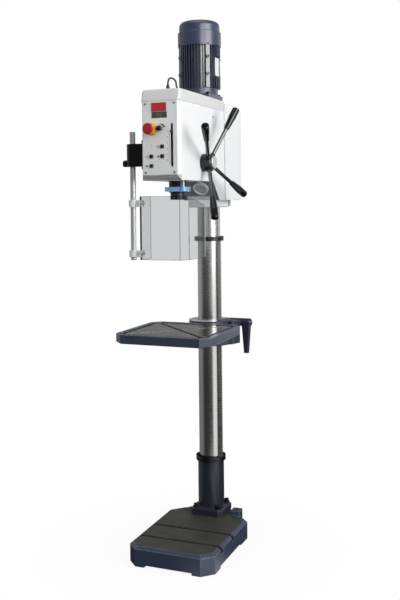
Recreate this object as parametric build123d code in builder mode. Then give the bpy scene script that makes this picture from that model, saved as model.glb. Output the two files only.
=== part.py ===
from build123d import *
import os
from math import atan2, cos, pi, radians, sin, sqrt, tan

# Geared column drill press, in millimetres. The origin is on the floor at the column's axis, +Z is up,
# the operator stands on the -Y side and +X is the operator's right.

# Fits and small rooms
FIT = 0.05
SLIDE = 0.15
GAP = 0.3

# Gear teeth, as shares of the module and of the tooth pitch
ADDENDUM = 0.85
DEDENDUM = 1.2
TIP_SHARE = 0.12
ROOT_SHARE = 0.29

# Base
BASE_W = 332.0
BASE_FRONT = -433.0
BASE_SIDE_END = -45.0
BASE_REAR = 82.0
BASE_CORNER = 40.0
BASE_H = 72.0
BASE_WALL = 26.0
BASE_PLATE = 38.0
BEVEL_H = 9.0
BEVEL_W = 10.0
FOOT_H = 8.0
FOOT_W = 74.0
FOOT_L = 93.0
BASE_SLOT_Y = (-328.0, -210.0)
BASE_SLOT_W = 14.0
BASE_SLOT_NECK = 12.0
BASE_SLOT_FOOT_W = 24.0
BASE_SLOT_FOOT_H = 10.0
LUG_X = 110.0
LUG_Y = -8.0
LUG_SIDE = 38.0
LUG_CORNER = 8.0
LUG_RISE = 20.0
ANCHOR_X = 101.0
ANCHOR_R = 7.0

# Column socket and its bolts
FLANGE_W = 132.0
FLANGE_CORNER = 16.0
FLANGE_H = 27.0
FLANGE_EDGE = 5.0
SOCKET_R = 51.5
SOCKET_TOP = 281.0
SOCKET_BOLT_PITCH = 94.0
BOLT_R = 6.0
BOLT_HEAD_R = 9.0
BOLT_HEAD_H = 12.0
BOLT_DEPTH = 26.0
BOLT_HOLE_ROOM = 0.5
HEX_R = 5.0
HEX_DEPTH = 6.0

# Column, rack and the two rings that hold the rack's ends
COLUMN_R = 46.0
COLUMN_WALL = 10.0
COLUMN_TOP = 1372.0
RACK_ANGLE = -18.0
RACK_W = 20.0
RACK_MODULE = 2.0
RACK_TIP_R = 55.0
RING_R = 59.0
RING_H = 17.0
RING_CUP = 10.0
UPPER_RING_Z = 1150.0

# Table bracket, lift gear and crank
BRACKET_R = 82.0
ARM_HALF = 98.0
BRACKET_BOTTOM = 742.0
BRACKET_TOP = 838.0
ARM_REACH = -215.0
ARM_TIP_HALF = 65.0
ARM_TIP_REACH = -330.0
ARM_TIP_BOTTOM = 786.0
LIFT_Z = 798.0
LIFT_TEETH = 16
LIFT_FACE = 22.0
WHEEL_TEETH = 20
WHEEL_T = 60.0
WHEEL_FACE = 11.0
LIFT_SHAFT_R = 8.0
LIFT_SHAFT_FRONT = -40.0
LIFT_SHAFT_REAR = 72.0
GEAR_BOX_IN = 30.0
GEAR_BOX_OUT = 98.0
GEAR_BOX_FRONT = 20.0
GEAR_BOX_REAR = 76.0
GEAR_BOX_LOW = 744.0
GEAR_BOX_HIGH = 834.0
GEAR_BOX_CORNER = 10.0
CHAMBER_ROOM = 1.5
WORM_R = 11.5
WORM_ROOT_R = 8.5
WORM_L = 36.0
WORM_PITCH = 6.0
WORM_END = 94.0
CRANK_HUB_IN = -92.0
CRANK_HUB_L = 40.0
CRANK_HUB_R = 16.0
CRANK_ARM_L = 92.0
CRANK_ARM_W = 22.0
CRANK_TIP_W = 16.0
CRANK_ARM_T = 11.0
CRANK_PIN_R = 5.0
GRIP_R = 13.0
GRIP_NECK_R = 10.5
GRIP_L = 62.0
GRIP_SWELL_L = 37.0
GRIP_CLOSED_L = 5.0
GRIP_END = 5.0

# Table clamp
CLAMP_Y = 64.0
CLAMP_Z = 822.0
CLAMP_BOLT_R = 7.0
CLAMP_BOSS_R = 16.0
CLAMP_BOSS_X = 112.0
CLAMP_HUB_L = 39.0
CLAMP_HUB_R = 16.0
CLAMP_HUB_EDGE = 3.0
CLAMP_ARM_L = 122.0
CLAMP_ARM_TOP = (34.0, 30.0)
CLAMP_ARM_TIP = (18.0, 18.0)
CLAMP_ARM_ROUND = 4.0
CLAMP_NUT_R = 12.0
CLAMP_NUT_X = -65.0
CLAMP_NUT_L = 11.0
CLAMP_SPLIT = 4.0

# Table
TABLE_W = 364.0
TABLE_D = 356.0
TABLE_CORNER = 31.0
TABLE_BOTTOM = 806.0
TABLE_TOP = 839.0
TABLE_RIM = 17.0
TABLE_PLATE_W = 300.0
TABLE_PLATE_D = 288.0
TABLE_PLATE_DROP = 1.5
CHANNEL_DEPTH = 12.0
TABLE_SLOT_W = 12.0
TABLE_SLOT_NECK = 9.0
TABLE_SLOT_FOOT_W = 21.0
TABLE_SLOT_FOOT_H = 8.0
TABLE_EDGE = 4.0

# Gear train: tooth numbers from the motor to the spindle, all on the head's middle plane
MODULE = 2.0
PINION_TEETH = 20
BIG_TEETH = 50
SMALL_TEETH = 28
GEAR_FACE = 12.0
GEAR_LEVELS = (1598.0, 1614.0, 1630.0)
MOTOR_Y = -79.0
FIRST_Y = MOTOR_Y - MODULE * (PINION_TEETH + BIG_TEETH) / 2
SECOND_Y = FIRST_Y - MODULE * (SMALL_TEETH + BIG_TEETH) / 2
SPINDLE_Y = SECOND_Y - MODULE * (SMALL_TEETH + BIG_TEETH) / 2
SHAFT_R = 10.0
BEARING_R = 16.0
BEARING_H = 8.0

# Head casting
HEAD_BOTTOM = 1380.0
NECK_BOTTOM = 1310.0
SLOPE_FRONT = -136.0
SLOPE_REAR = -70.0
CASTING_HALF = 66.0
CASTING_REAR = 60.0
CHEEK_FRONT = -265.0
CHEEK_BOTTOM = 1392.0
CASE_FRONT = -372.0
CASE_REAR = -40.0
CASE_FLOOR = 1582.0
CASE_FLOOR_T = 10.0
CASE_TOP = 1655.0
CASE_WALL = 8.0
QUILL_HOUSING_R = 42.0
POCKET_WALL = 14.0
COVER_T = 12.0
PEDESTAL_HALF = 62.0
PEDESTAL_WALL = 20.0
COLLAR_W = 116.0
COLLAR_D = 144.0
COLLAR_CORNER = 8.0
COLLAR_BOTTOM = 1282.0
COLLAR_EDGE = 3.0
COLLAR_SCREW_R = 4.0
COLLAR_SCREW_HEAD_R = 6.5
COLLAR_SCREW_HEAD_H = 8.0
COLLAR_SCREW_L = 30.0
COLLAR_SCREW_PCD = 125.0

# Head shell, lid, rear cover and front panel
SHELL_HALF = 75.0
SHELL_T = 4.0
SHELL_FRONT = -440.0
FACE_Y = -456.0
FACE_HALF = 65.5
FACE_BOTTOM = 1397.0
SEAM_Y = -16.0
LID_TOP = 1698.0
LID_RAKE = 12.0
LID_EDGE = 9.0
LID_GROOVE = 1.5
REAR_HALF = 80.0
REAR_END = 205.0
REAR_CORNER = 46.0
REAR_TOP = 1692.0
REAR_TOP_EDGE = 22.0
PANEL_HALF = 62.0
PANEL_LOW = 1401.0
PANEL_HIGH = 1652.0
PANEL_T = 3.0
PANEL_LEDGE = 8.0
PANEL_SCREW_X = 55.0
PANEL_SCREW_INSET = 6.0
PANEL_SCREW_R = 2.0
PANEL_SCREW_HEAD_R = 3.6
PANEL_SCREW_HEAD_H = 1.8
PANEL_SCREW_L = 6.5
DISPLAY_W = 58.0
DISPLAY_H = 21.5
DISPLAY_T = 2.0
DISPLAY_X = -2.0
DISPLAY_Z = 1606.5
ESTOP_X = -32.0
ESTOP_Z = 1558.0
ESTOP_R = 20.0
ESTOP_BASE_R = 22.0
ESTOP_BASE_H = 10.0
ESTOP_NECK_R = 11.0
ESTOP_STEM_R = 8.0
ESTOP_HEAD_H = 20.0
ESTOP_ROUND = 5.0
ESTOP_BASE_EDGE = 3.0
ESTOP_TRAVEL = 5.0
ESTOP_DEPTH = 22.0
KNOB_X = 0.0
KNOB_Z = 1560.0
KNOB_R = 9.0
KNOB_H = 14.0
KNOB_STEM_R = 3.0
KNOB_EDGE = 1.5
KNOB_GROOVE = 1.5
BUTTON_SIDE = 11.4
BUTTON_CORNER = 2.0
BUTTON_EDGE = 0.75
BUTTON_PROUD = 5.0
BUTTON_DEPTH = 10.0
BUTTON_COLUMNS = (-33.0, 8.3)
BUTTON_ROWS = (1497.0, 1463.3, 1430.0)
SLOT_X = 45.0
SLOT_W = 9.5
SLOT_RISE = 27.0
SLOT_ROOM = 5.0

# Quill, spindle and feed
STROKE = 118.0
QUILL_R = 32.0
QUILL_BOTTOM = 1338.0
QUILL_TOP = 1576.0
QUILL_BORE_R = 21.5
QUILL_SEAT_R = 26.0
QUILL_SEAT_H = 28.0
FEED_MODULE = 2.5
FEED_TEETH = 28
RACK_PITCH_OFFSET = 29.0
RACK_HALF = 20.0
FEED_Z = 1447.0
FEED_FACE = 36.0
FEED_SHAFT_R = 14.0
BUSH_R = 17.0
BUSH_L = 34.0
FEED_LEFT = -101.0
NOSE_R = 27.0
NOSE_Z = 1312.0
NOSE_EDGE = 1.5
SPINDLE_LOW_R = 17.0
SPINDLE_MID_R = 15.0
SPLINE_R = 11.0
SPLINE_TIP_R = 13.5
SPLINE_W = 5.0
SPLINES = 6
SPLINE_BOTTOM = 1466.0
SPLINE_TOP = 1640.0
TAPER_R = 11.912
TAPER_DEPTH = 86.0
TAPER_RATE = 19.922
SLEEVE_R = 20.0
SLEEVE_BEARING_R = 26.0
SLEEVE_BOTTOM = 1470.0
SLEEVE_TOP = CASE_TOP + BEARING_H
UPPER_BEARING_Z = 1440.0
QUILL_BEARING_H = 16.0
DEPTH_COLLAR_R = 47.0
DEPTH_COLLAR_LOW = 1342.0
DEPTH_COLLAR_H = 16.0
DEPTH_ROD_X = 38.0
DEPTH_ROD_Y = -343.0
DEPTH_ROD_R = 5.0
DEPTH_LUG_R = 11.0
POINTER_Z = 1549.0
POINTER_BAR = 8.0
POINTER_NECK = 4.0
POINTER_W = 12.0
POINTER_H = 6.0
POINTER_T = 4.0

# Star handle
HUB_IN = 76.0
DIAL_R = 33.0
DIAL_L = 14.0
HUB_R = 31.0
HUB_L = 24.0
HUB_EDGE = 3.0
CAP_R = 24.0
CAP_L = 7.0
CAP_EDGE = 3.0
LEVER_ANGLES = (150.0, 60.0, -30.0, -120.0)
LEVER_TILT = 16.0
LEVER_X = 97.0
LEVER_IN = 17.5
LEVER_R = 7.0
LEVER_L = 195.0
HANDLE_IN = 152.0
HANDLE_L = 92.0
HANDLE_SWELL_L = 55.0
HANDLE_NECK_R = 10.0
HANDLE_FAT_R = 14.0
HANDLE_END = 5.0

# Return spring on the left of the head
SPRING_CASE_R = 46.0
SPRING_CASE_L = 32.0
SPRING_CASE_T = 3.0
SPRING_CASE_EDGE = 4.0
SPRING_IN_R = 16.0
SPRING_STEP = 1.9
SPRING_HALF_TURNS = 11
SPRING_T = 1.0
SPRING_W = 20.0
SPRING_ROOM = 0.6

# Motor
MOTOR_PLATE_HALF = 70.0
MOTOR_PLATE_CORNER = 10.0
MOTOR_PLATE_T = 14.0
SHIELD_R = 70.0
SHIELD_TOP = 1738.0
SHIELD_BORE_R = 50.0
MOTOR_BEARING_R = 20.0
MOTOR_BEARING_H = 12.0
MOTOR_BODY_R = 68.0
MOTOR_BORE_R = 60.0
FIN_R = 80.0
FIN_T = 3.0
FINS = 44
MOTOR_TOP = 1905.0
MOTOR_WALL = 12.0
RIB_W = 16.0
RIB_BOSS_R = 7.0
RIB_BOSS_H = 5.0
RIB_BOSS_Z = (1789.0, 1855.0)
PLATE_FLAT_X = 70.5
PLATE_FLAT_LOW = 1781.0
PLATE_FLAT_HIGH = 1859.0
FAN_COVER_R = 83.0
FAN_COVER_T = 2.5
FAN_COVER_TOP = 1995.0
FAN_COVER_SKIRT = 6.0
FAN_DOME_R = 78.0
FAN_DOME_Z = 1954.0
FAN_DOME_EDGE = 20.0
FAN_STEP_EDGE = 2.0
FAN_HOLE_RINGS = (20.0, 33.0, 46.0)
FAN_HOLE_R = 4.0
FAN_HOLE_STEP = 12.0
FAN_R = 66.0
FAN_HUB_R = 18.0
FAN_Z = 1915.0
FAN_H = 30.0
FAN_BLADES = 7
FAN_BLADE_T = 3.0
ROTOR_SHAFT_R = 12.0
ROTOR_R = 38.0
ROTOR_BOTTOM = 1757.0
ROTOR_TOP = 1883.0
AIR_GAP = 0.6
MOTOR_BOLT_PITCH = 112.0
MOTOR_BOLT_R = 4.0
MOTOR_BOLT_HEAD_R = 7.0
MOTOR_BOLT_HEAD_H = 8.0
MOTOR_BOLT_DEPTH = 18.0

# Motor cable and glands
CABLE_R = 3.2
GLAND_X = -37.0
GLAND_Y = -300.0
GLAND_NUT_R = 9.5
GLAND_NUT_H = 6.0
GLAND_BODY_R = 8.0
GLAND_TOP_R = 5.2
GLAND_H = 33.0
TERMINAL_X = -36.0
TERMINAL_Y = -150.0
TERMINAL_Z = 1724.0
TERMINAL_W = 22.0
TERMINAL_GLAND_L = 26.0
CABLE_CREST = 1760.0
CABLE_DROP_Y = -226.0
CABLE_BEND_SHARE = 0.45
MAINS_GLAND_Y = 150.0
MAINS_GLAND_X = 30.0
MAINS_GLAND_L = 26.0

# Work lamp
LAMP_X = 15.0
LAMP_RISE = 17.0
LAMP_R = 30.0
LAMP_LENS_R = 23.0
LAMP_H = 9.0
LAMP_RECESS = 2.0
LENS_T = 4.0

# Guard
GUARD_ROD_X = -126.0
GUARD_ROD_Y = -415.0
GUARD_ROD_R = 10.0
GUARD_ROD_LOW = 1098.0
GUARD_ROD_HIGH = 1555.0
GUARD_ROD_EDGE = 1.5
HOLDER_LOW = 1430.0
HOLDER_HIGH = 1511.0
HOLDER_HALF = 21.0
HOLDER_PLATE_T = 4.0
HOLDER_PLATE_HALF = 22.0
HOLDER_PLATE_LOW = 1420.0
HOLDER_PLATE_HIGH = 1524.0
CLAMP_KNOB_Z = 1442.0
CLAMP_KNOB_R = 12.5
CLAMP_KNOB_L = 14.0
CLAMP_KNOB_EDGE = 3.0
CLAMP_SCREW_R = 4.0
SHIELD_T = 4.0
SHIELD_LOW = 1100.0
SHIELD_HIGH = 1325.0
SHIELD_LEFT = -92.0
SHIELD_RIGHT = 80.0
SHIELD_FACE = -432.0
SHIELD_BEND_X = 62.0
SHIELD_BEND_Y = -390.0
SHIELD_LEFT_END = -348.0
SHIELD_RIGHT_END = -240.0
SHIELD_SLOPE = 34.0
BRACKET_RING_R = 16.0
BRACKET_RING_H = 24.0
BRACKET_RING_Z = (1109.0, 1288.0)
BRACKET_ARM_W = 14.0
BRACKET_PAD_T = 5.0
BRACKET_PAD_L = 30.0

# Directions of the rack and of the lift shaft across it
RADIAL = Vector(1, 0, 0).rotate(Axis.Z, RACK_ANGLE)
TANGENT = Vector(0, 1, 0).rotate(Axis.Z, RACK_ANGLE)
RACK_PITCH_R = RACK_TIP_R - ADDENDUM * RACK_MODULE
LIFT_R = RACK_PITCH_R + RACK_MODULE * LIFT_TEETH / 2
LIFT_TIP_R = RACK_MODULE * (LIFT_TEETH / 2 + ADDENDUM)
WHEEL_TIP_R = RACK_MODULE * (WHEEL_TEETH / 2 + ADDENDUM)
WORM_Z = LIFT_Z - WHEEL_TIP_R - WORM_R - GAP
LOWER_RING_Z = SOCKET_TOP
CUP_R = sqrt(RACK_TIP_R ** 2 + (RACK_W / 2) ** 2) + GAP
RACK_LOW = LOWER_RING_Z + RING_H - RING_CUP + GAP
RACK_HIGH = UPPER_RING_Z + RING_CUP - GAP
FEED_Y = SPINDLE_Y + RACK_PITCH_OFFSET + FEED_MODULE * FEED_TEETH / 2
FEED_TIP_R = FEED_MODULE * (FEED_TEETH / 2 + ADDENDUM)
PANEL_BACK = FACE_Y + PANEL_T
MOTOR_BASE = LID_TOP + GAP
HOLDER_X = -SHELL_HALF - HOLDER_PLATE_T
SLOT_LOW = POINTER_Z - STROKE - SLOT_ROOM
SLOT_HIGH = POINTER_Z + SLOT_RISE


def gear_points(teeth, module, turn):
    """Corner points of a straight-flanked gear with one tooth centred on the angle turn."""
    tip_r = module * (teeth / 2 + ADDENDUM)
    root_r = module * (teeth / 2 - DEDENDUM)
    step = 360 / teeth
    corners = ((-ROOT_SHARE, root_r), (-TIP_SHARE, tip_r), (TIP_SHARE, tip_r), (ROOT_SHARE, root_r))
    points = []
    for tooth in range(teeth):
        for share, r in corners:
            angle = radians(turn + (tooth + share) * step)
            points.append((r * cos(angle), r * sin(angle)))
    return points


def gap_turn(teeth, direction):
    """Turn that puts a gap between two teeth on the given direction."""
    return direction + 180 / teeth


def lift_plane(radial, tangent, z, along):
    """Plane of the lift gear: across the lift shaft or across the worm shaft, with Z upward."""
    place = RADIAL * radial + TANGENT * tangent + Vector(0, 0, z)
    if along == "shaft":
        return Plane(place, x_dir=RADIAL, z_dir=-TANGENT)
    return Plane(place, x_dir=TANGENT, z_dir=RADIAL)


def shaft_plane(y, z):
    """Level plane centred on a vertical shaft of the head's middle plane."""
    return Plane((0, y, z))


def cross_plane(x, y, z):
    """Plane across a shaft that lies along X, with its own x along Y and its own y upward."""
    return Plane((x, y, z), x_dir=(0, 1, 0), z_dir=(1, 0, 0))


def face_plane(x, y, z):
    """Plane seen from the front, with its own y upward and its normal towards the operator."""
    return Plane((x, y, z), x_dir=(1, 0, 0), z_dir=(0, -1, 0))


def save(builder, name):
    """Label a finished piece and write it as its own file."""
    builder.part.label = name
    export_step(builder.part, f"parts/{name}.step")


os.makedirs("parts", exist_ok=True)

# Base casting: chamfered plan, bevelled top edge, hollow underside, feet, T-slots, a lug and anchor holes
half_w = BASE_W / 2
base_plan = [
    (half_w - BASE_CORNER, BASE_FRONT),
    (half_w, BASE_FRONT + BASE_CORNER),
    (half_w, BASE_SIDE_END),
    (half_w - (BASE_REAR - BASE_SIDE_END), BASE_REAR),
]
base_plan += [(-x, y) for x, y in reversed(base_plan)]
foot_plans = (
    [(half_w - FOOT_W, BASE_FRONT), base_plan[0], base_plan[1],
     (half_w, BASE_FRONT + FOOT_L), (half_w - FOOT_W, BASE_FRONT + FOOT_L)],
    [(half_w - FOOT_W, BASE_SIDE_END - FOOT_W), (half_w, BASE_SIDE_END - FOOT_W), base_plan[2],
     (half_w - FOOT_W, BASE_SIDE_END + FOOT_W)],
)
with BuildPart() as base_casting:
    with BuildSketch(Plane.XY.offset(FOOT_H)):
        with BuildLine():
            Polyline(*base_plan, close=True)
        make_face()
    extrude(amount=BASE_H - FOOT_H)
    base_top = base_casting.faces().sort_by(Axis.Z)[-1]
    chamfer(base_top.edges(), length=BEVEL_W, length2=BEVEL_H, reference=base_top)
    with BuildSketch(Plane.XY):
        with BuildLine():
            Polyline(*base_plan, close=True)
        make_face()
        offset(amount=-BASE_WALL, kind=Kind.INTERSECTION, mode=Mode.REPLACE)
    extrude(amount=BASE_H - BASE_PLATE, mode=Mode.SUBTRACT)
    for plan in foot_plans:
        with BuildSketch(Plane.XY):
            with BuildLine():
                Polyline(*plan, close=True)
            make_face()
            mirror(about=Plane.YZ)
        extrude(amount=FOOT_H + BASE_WALL)
    with BuildSketch(Plane.XY):
        with Locations((LUG_X, LUG_Y)):
            RectangleRounded(LUG_SIDE, LUG_SIDE, LUG_CORNER)
    extrude(amount=BASE_H + LUG_RISE)
    for slot_y in BASE_SLOT_Y:
        with Locations((0, slot_y, BASE_H)):
            Box(BASE_W, BASE_SLOT_W, BASE_SLOT_NECK,
                align=(Align.CENTER, Align.CENTER, Align.MAX), mode=Mode.SUBTRACT)
        with Locations((0, slot_y, BASE_H - BASE_SLOT_NECK)):
            Box(BASE_W, BASE_SLOT_FOOT_W, BASE_SLOT_FOOT_H,
                align=(Align.CENTER, Align.CENTER, Align.MAX), mode=Mode.SUBTRACT)
    with BuildSketch(Plane.XY):
        with Locations((ANCHOR_X, 0), (-ANCHOR_X, 0)):
            Circle(ANCHOR_R)
    extrude(amount=BASE_H + LUG_RISE, mode=Mode.SUBTRACT)
    with BuildSketch(Plane.XY.offset(BASE_H)):
        with GridLocations(SOCKET_BOLT_PITCH, SOCKET_BOLT_PITCH, 2, 2):
            Circle(BOLT_R + FIT)
    extrude(amount=-BOLT_DEPTH - GAP, mode=Mode.SUBTRACT)
save(base_casting, "base_casting")

# Column socket with its square flange
with BuildPart() as column_socket:
    with BuildSketch(Plane.XY.offset(BASE_H)):
        Rectangle(FLANGE_W, FLANGE_W)
        chamfer(vertices(), FLANGE_CORNER)
    extrude(amount=FLANGE_H)
    chamfer(faces().sort_by(Axis.Z)[-1].edges(), FLANGE_EDGE)
    with BuildSketch(Plane.XY.offset(BASE_H)):
        Circle(SOCKET_R)
    extrude(amount=SOCKET_TOP - BASE_H)
    with BuildSketch(Plane.XY.offset(BASE_H)):
        Circle(COLUMN_R + FIT)
    extrude(amount=SOCKET_TOP - BASE_H, mode=Mode.SUBTRACT)
    with BuildSketch(Plane.XY.offset(BASE_H)):
        with GridLocations(SOCKET_BOLT_PITCH, SOCKET_BOLT_PITCH, 2, 2):
            Circle(BOLT_R + BOLT_HOLE_ROOM)
    extrude(amount=FLANGE_H, mode=Mode.SUBTRACT)
save(column_socket, "column_socket")

# Column tube
with BuildPart() as column:
    with BuildSketch(Plane.XY.offset(BASE_H)):
        Circle(COLUMN_R)
        Circle(COLUMN_R - COLUMN_WALL, mode=Mode.SUBTRACT)
    extrude(amount=COLUMN_TOP - BASE_H)
save(column, "column")

# Rings that hold the rack's ends: each is a cup round the column, open towards the rack
with BuildPart() as rack_rings:
    with BuildSketch(Plane.XZ):
        for floor_z, cup_z in (
            (LOWER_RING_Z, LOWER_RING_Z + RING_H),
            (UPPER_RING_Z + RING_H, UPPER_RING_Z),
        ):
            way = 1 if cup_z > floor_z else -1
            step_z = cup_z - way * RING_CUP
            with BuildLine():
                Polyline(
                    (COLUMN_R + FIT, floor_z),
                    (RING_R, floor_z),
                    (RING_R, cup_z),
                    (CUP_R, cup_z),
                    (CUP_R, step_z),
                    (COLUMN_R + FIT, step_z),
                    close=True,
                )
            make_face()
    revolve(axis=Axis.Z)
save(rack_rings, "rack_rings")

# Rack that stands between the rings and swings round the column with the table
rack_pitch = pi * RACK_MODULE
rack_root_r = RACK_TIP_R - (ADDENDUM + DEDENDUM) * RACK_MODULE
low_count = int((LIFT_Z - RACK_LOW) / rack_pitch) - 1
high_count = int((RACK_HIGH - LIFT_Z) / rack_pitch) - 1
tooth_corners = (
    (rack_root_r, -ROOT_SHARE), (RACK_TIP_R, -TIP_SHARE),
    (RACK_TIP_R, TIP_SHARE), (rack_root_r, ROOT_SHARE),
)
rack_edge = []
for tooth in range(-low_count, high_count):
    tooth_z = LIFT_Z + (tooth + 0.5) * rack_pitch
    rack_edge += [(r, tooth_z + share * rack_pitch) for r, share in tooth_corners]
with BuildPart() as column_rack:
    with BuildSketch(lift_plane(0, 0, 0, "shaft")):
        with BuildLine():
            Polyline(
                (COLUMN_R - COLUMN_WALL, RACK_LOW),
                (rack_root_r, RACK_LOW),
                *rack_edge,
                (rack_root_r, RACK_HIGH),
                (COLUMN_R - COLUMN_WALL, RACK_HIGH),
                close=True,
            )
        make_face()
    extrude(amount=RACK_W / 2, both=True)
    with BuildSketch(Plane.XY.offset(RACK_LOW)):
        Circle(COLUMN_R + SLIDE)
    extrude(amount=RACK_HIGH - RACK_LOW, mode=Mode.SUBTRACT)
save(column_rack, "column_rack")

# Table bracket: split collar round the column, hollow arm under the table, lift gear box and clamp boss
arm_plan = [
    (-ARM_HALF, 0), (ARM_HALF, 0), (ARM_HALF, ARM_REACH),
    (ARM_TIP_HALF, ARM_TIP_REACH), (-ARM_TIP_HALF, ARM_TIP_REACH), (-ARM_HALF, ARM_REACH),
]
gear_box_mid = (GEAR_BOX_IN + GEAR_BOX_OUT) / 2
gear_box_t = (GEAR_BOX_FRONT + GEAR_BOX_REAR) / 2
gear_box_place = RADIAL * gear_box_mid + TANGENT * gear_box_t + Vector(0, 0, GEAR_BOX_LOW)
with BuildPart() as table_bracket:
    with BuildSketch(Plane.XY.offset(BRACKET_BOTTOM)):
        with BuildLine():
            Polyline(*arm_plan, close=True)
        make_face()
    extrude(amount=TABLE_BOTTOM - BRACKET_BOTTOM)
    with BuildSketch(Plane.XY.offset(BRACKET_BOTTOM)):
        with BuildLine():
            Polyline(*arm_plan, close=True)
        make_face()
        offset(amount=-POCKET_WALL, kind=Kind.INTERSECTION, mode=Mode.REPLACE)
    extrude(amount=TABLE_BOTTOM - POCKET_WALL - BRACKET_BOTTOM, mode=Mode.SUBTRACT)
    with BuildSketch(Plane.YZ):
        with BuildLine():
            Polyline(
                (0, BRACKET_BOTTOM), (ARM_TIP_REACH, ARM_TIP_BOTTOM), (ARM_TIP_REACH, BRACKET_BOTTOM),
                close=True,
            )
        make_face()
    extrude(amount=ARM_HALF, both=True, mode=Mode.SUBTRACT)
    with BuildSketch(Plane.XY.offset(BRACKET_BOTTOM)):
        Circle(BRACKET_R)
    extrude(amount=BRACKET_TOP - BRACKET_BOTTOM)
    with BuildSketch(Plane(gear_box_place, x_dir=RADIAL)):
        Rectangle(GEAR_BOX_OUT - GEAR_BOX_IN, GEAR_BOX_REAR - GEAR_BOX_FRONT)
        fillet(vertices(), GEAR_BOX_CORNER)
    extrude(amount=GEAR_BOX_HIGH - GEAR_BOX_LOW)
    with BuildSketch(cross_plane(0, CLAMP_Y, CLAMP_Z)):
        Circle(CLAMP_BOSS_R)
    extrude(amount=CLAMP_BOSS_X)
    with BuildSketch(Plane.XY.offset(BRACKET_BOTTOM)):
        Circle(COLUMN_R + SLIDE)
    extrude(amount=BRACKET_TOP - BRACKET_BOTTOM, mode=Mode.SUBTRACT)
    rack_room = RACK_TIP_R + GAP
    with BuildSketch(Plane(Vector(0, 0, BRACKET_BOTTOM), x_dir=RADIAL)):
        with Locations((rack_room / 2, 0)):
            Rectangle(rack_room, RACK_W + 2 * GAP)
    extrude(amount=BRACKET_TOP - BRACKET_BOTTOM, mode=Mode.SUBTRACT)
    with BuildSketch(lift_plane(LIFT_R, 0, LIFT_Z, "shaft")):
        Circle(LIFT_TIP_R + CHAMBER_ROOM)
    extrude(amount=LIFT_FACE / 2 + CHAMBER_ROOM, both=True, mode=Mode.SUBTRACT)
    with BuildSketch(lift_plane(LIFT_R, WHEEL_T, LIFT_Z, "shaft")):
        Circle(WHEEL_TIP_R + CHAMBER_ROOM)
    extrude(amount=WHEEL_FACE / 2 + CHAMBER_ROOM, both=True, mode=Mode.SUBTRACT)
    with BuildSketch(lift_plane(LIFT_R, GEAR_BOX_REAR, LIFT_Z, "shaft")):
        Circle(LIFT_SHAFT_R + FIT)
    extrude(amount=GEAR_BOX_REAR - LIFT_SHAFT_FRONT + GAP, mode=Mode.SUBTRACT)
    with BuildSketch(lift_plane(LIFT_R, WHEEL_T, WORM_Z, "worm")):
        Circle(WORM_R + CHAMBER_ROOM)
    extrude(amount=WORM_L / 2 + CHAMBER_ROOM, both=True, mode=Mode.SUBTRACT)
    with BuildSketch(lift_plane(-BRACKET_R, WHEEL_T, WORM_Z, "worm")):
        Circle(LIFT_SHAFT_R + FIT)
    extrude(amount=BRACKET_R + WORM_END + GAP, mode=Mode.SUBTRACT)
    with BuildSketch(cross_plane(-BRACKET_R, CLAMP_Y, CLAMP_Z)):
        Circle(CLAMP_BOLT_R + FIT)
    extrude(amount=BRACKET_R + CLAMP_BOSS_X, mode=Mode.SUBTRACT)
    with Locations((0, 0, BRACKET_BOTTOM)):
        Box(CLAMP_SPLIT, BRACKET_R, BRACKET_TOP - BRACKET_BOTTOM,
            align=(Align.CENTER, Align.MIN, Align.MIN), mode=Mode.SUBTRACT)
save(table_bracket, "table_bracket")

# Lift pinion, its worm wheel and their shaft
with BuildPart() as lift_pinion:
    with BuildSketch(lift_plane(LIFT_R, 0, LIFT_Z, "shaft")):
        with BuildLine():
            Polyline(*gear_points(LIFT_TEETH, RACK_MODULE, 180), close=True)
        make_face()
    extrude(amount=LIFT_FACE / 2, both=True)
    with BuildSketch(lift_plane(LIFT_R, WHEEL_T, LIFT_Z, "shaft")):
        with BuildLine():
            Polyline(*gear_points(WHEEL_TEETH, RACK_MODULE, 0), close=True)
        make_face()
    extrude(amount=WHEEL_FACE / 2, both=True)
    with BuildSketch(lift_plane(LIFT_R, LIFT_SHAFT_REAR, LIFT_Z, "shaft")):
        Circle(LIFT_SHAFT_R)
    extrude(amount=LIFT_SHAFT_REAR - LIFT_SHAFT_FRONT)
save(lift_pinion, "lift_pinion")

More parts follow.
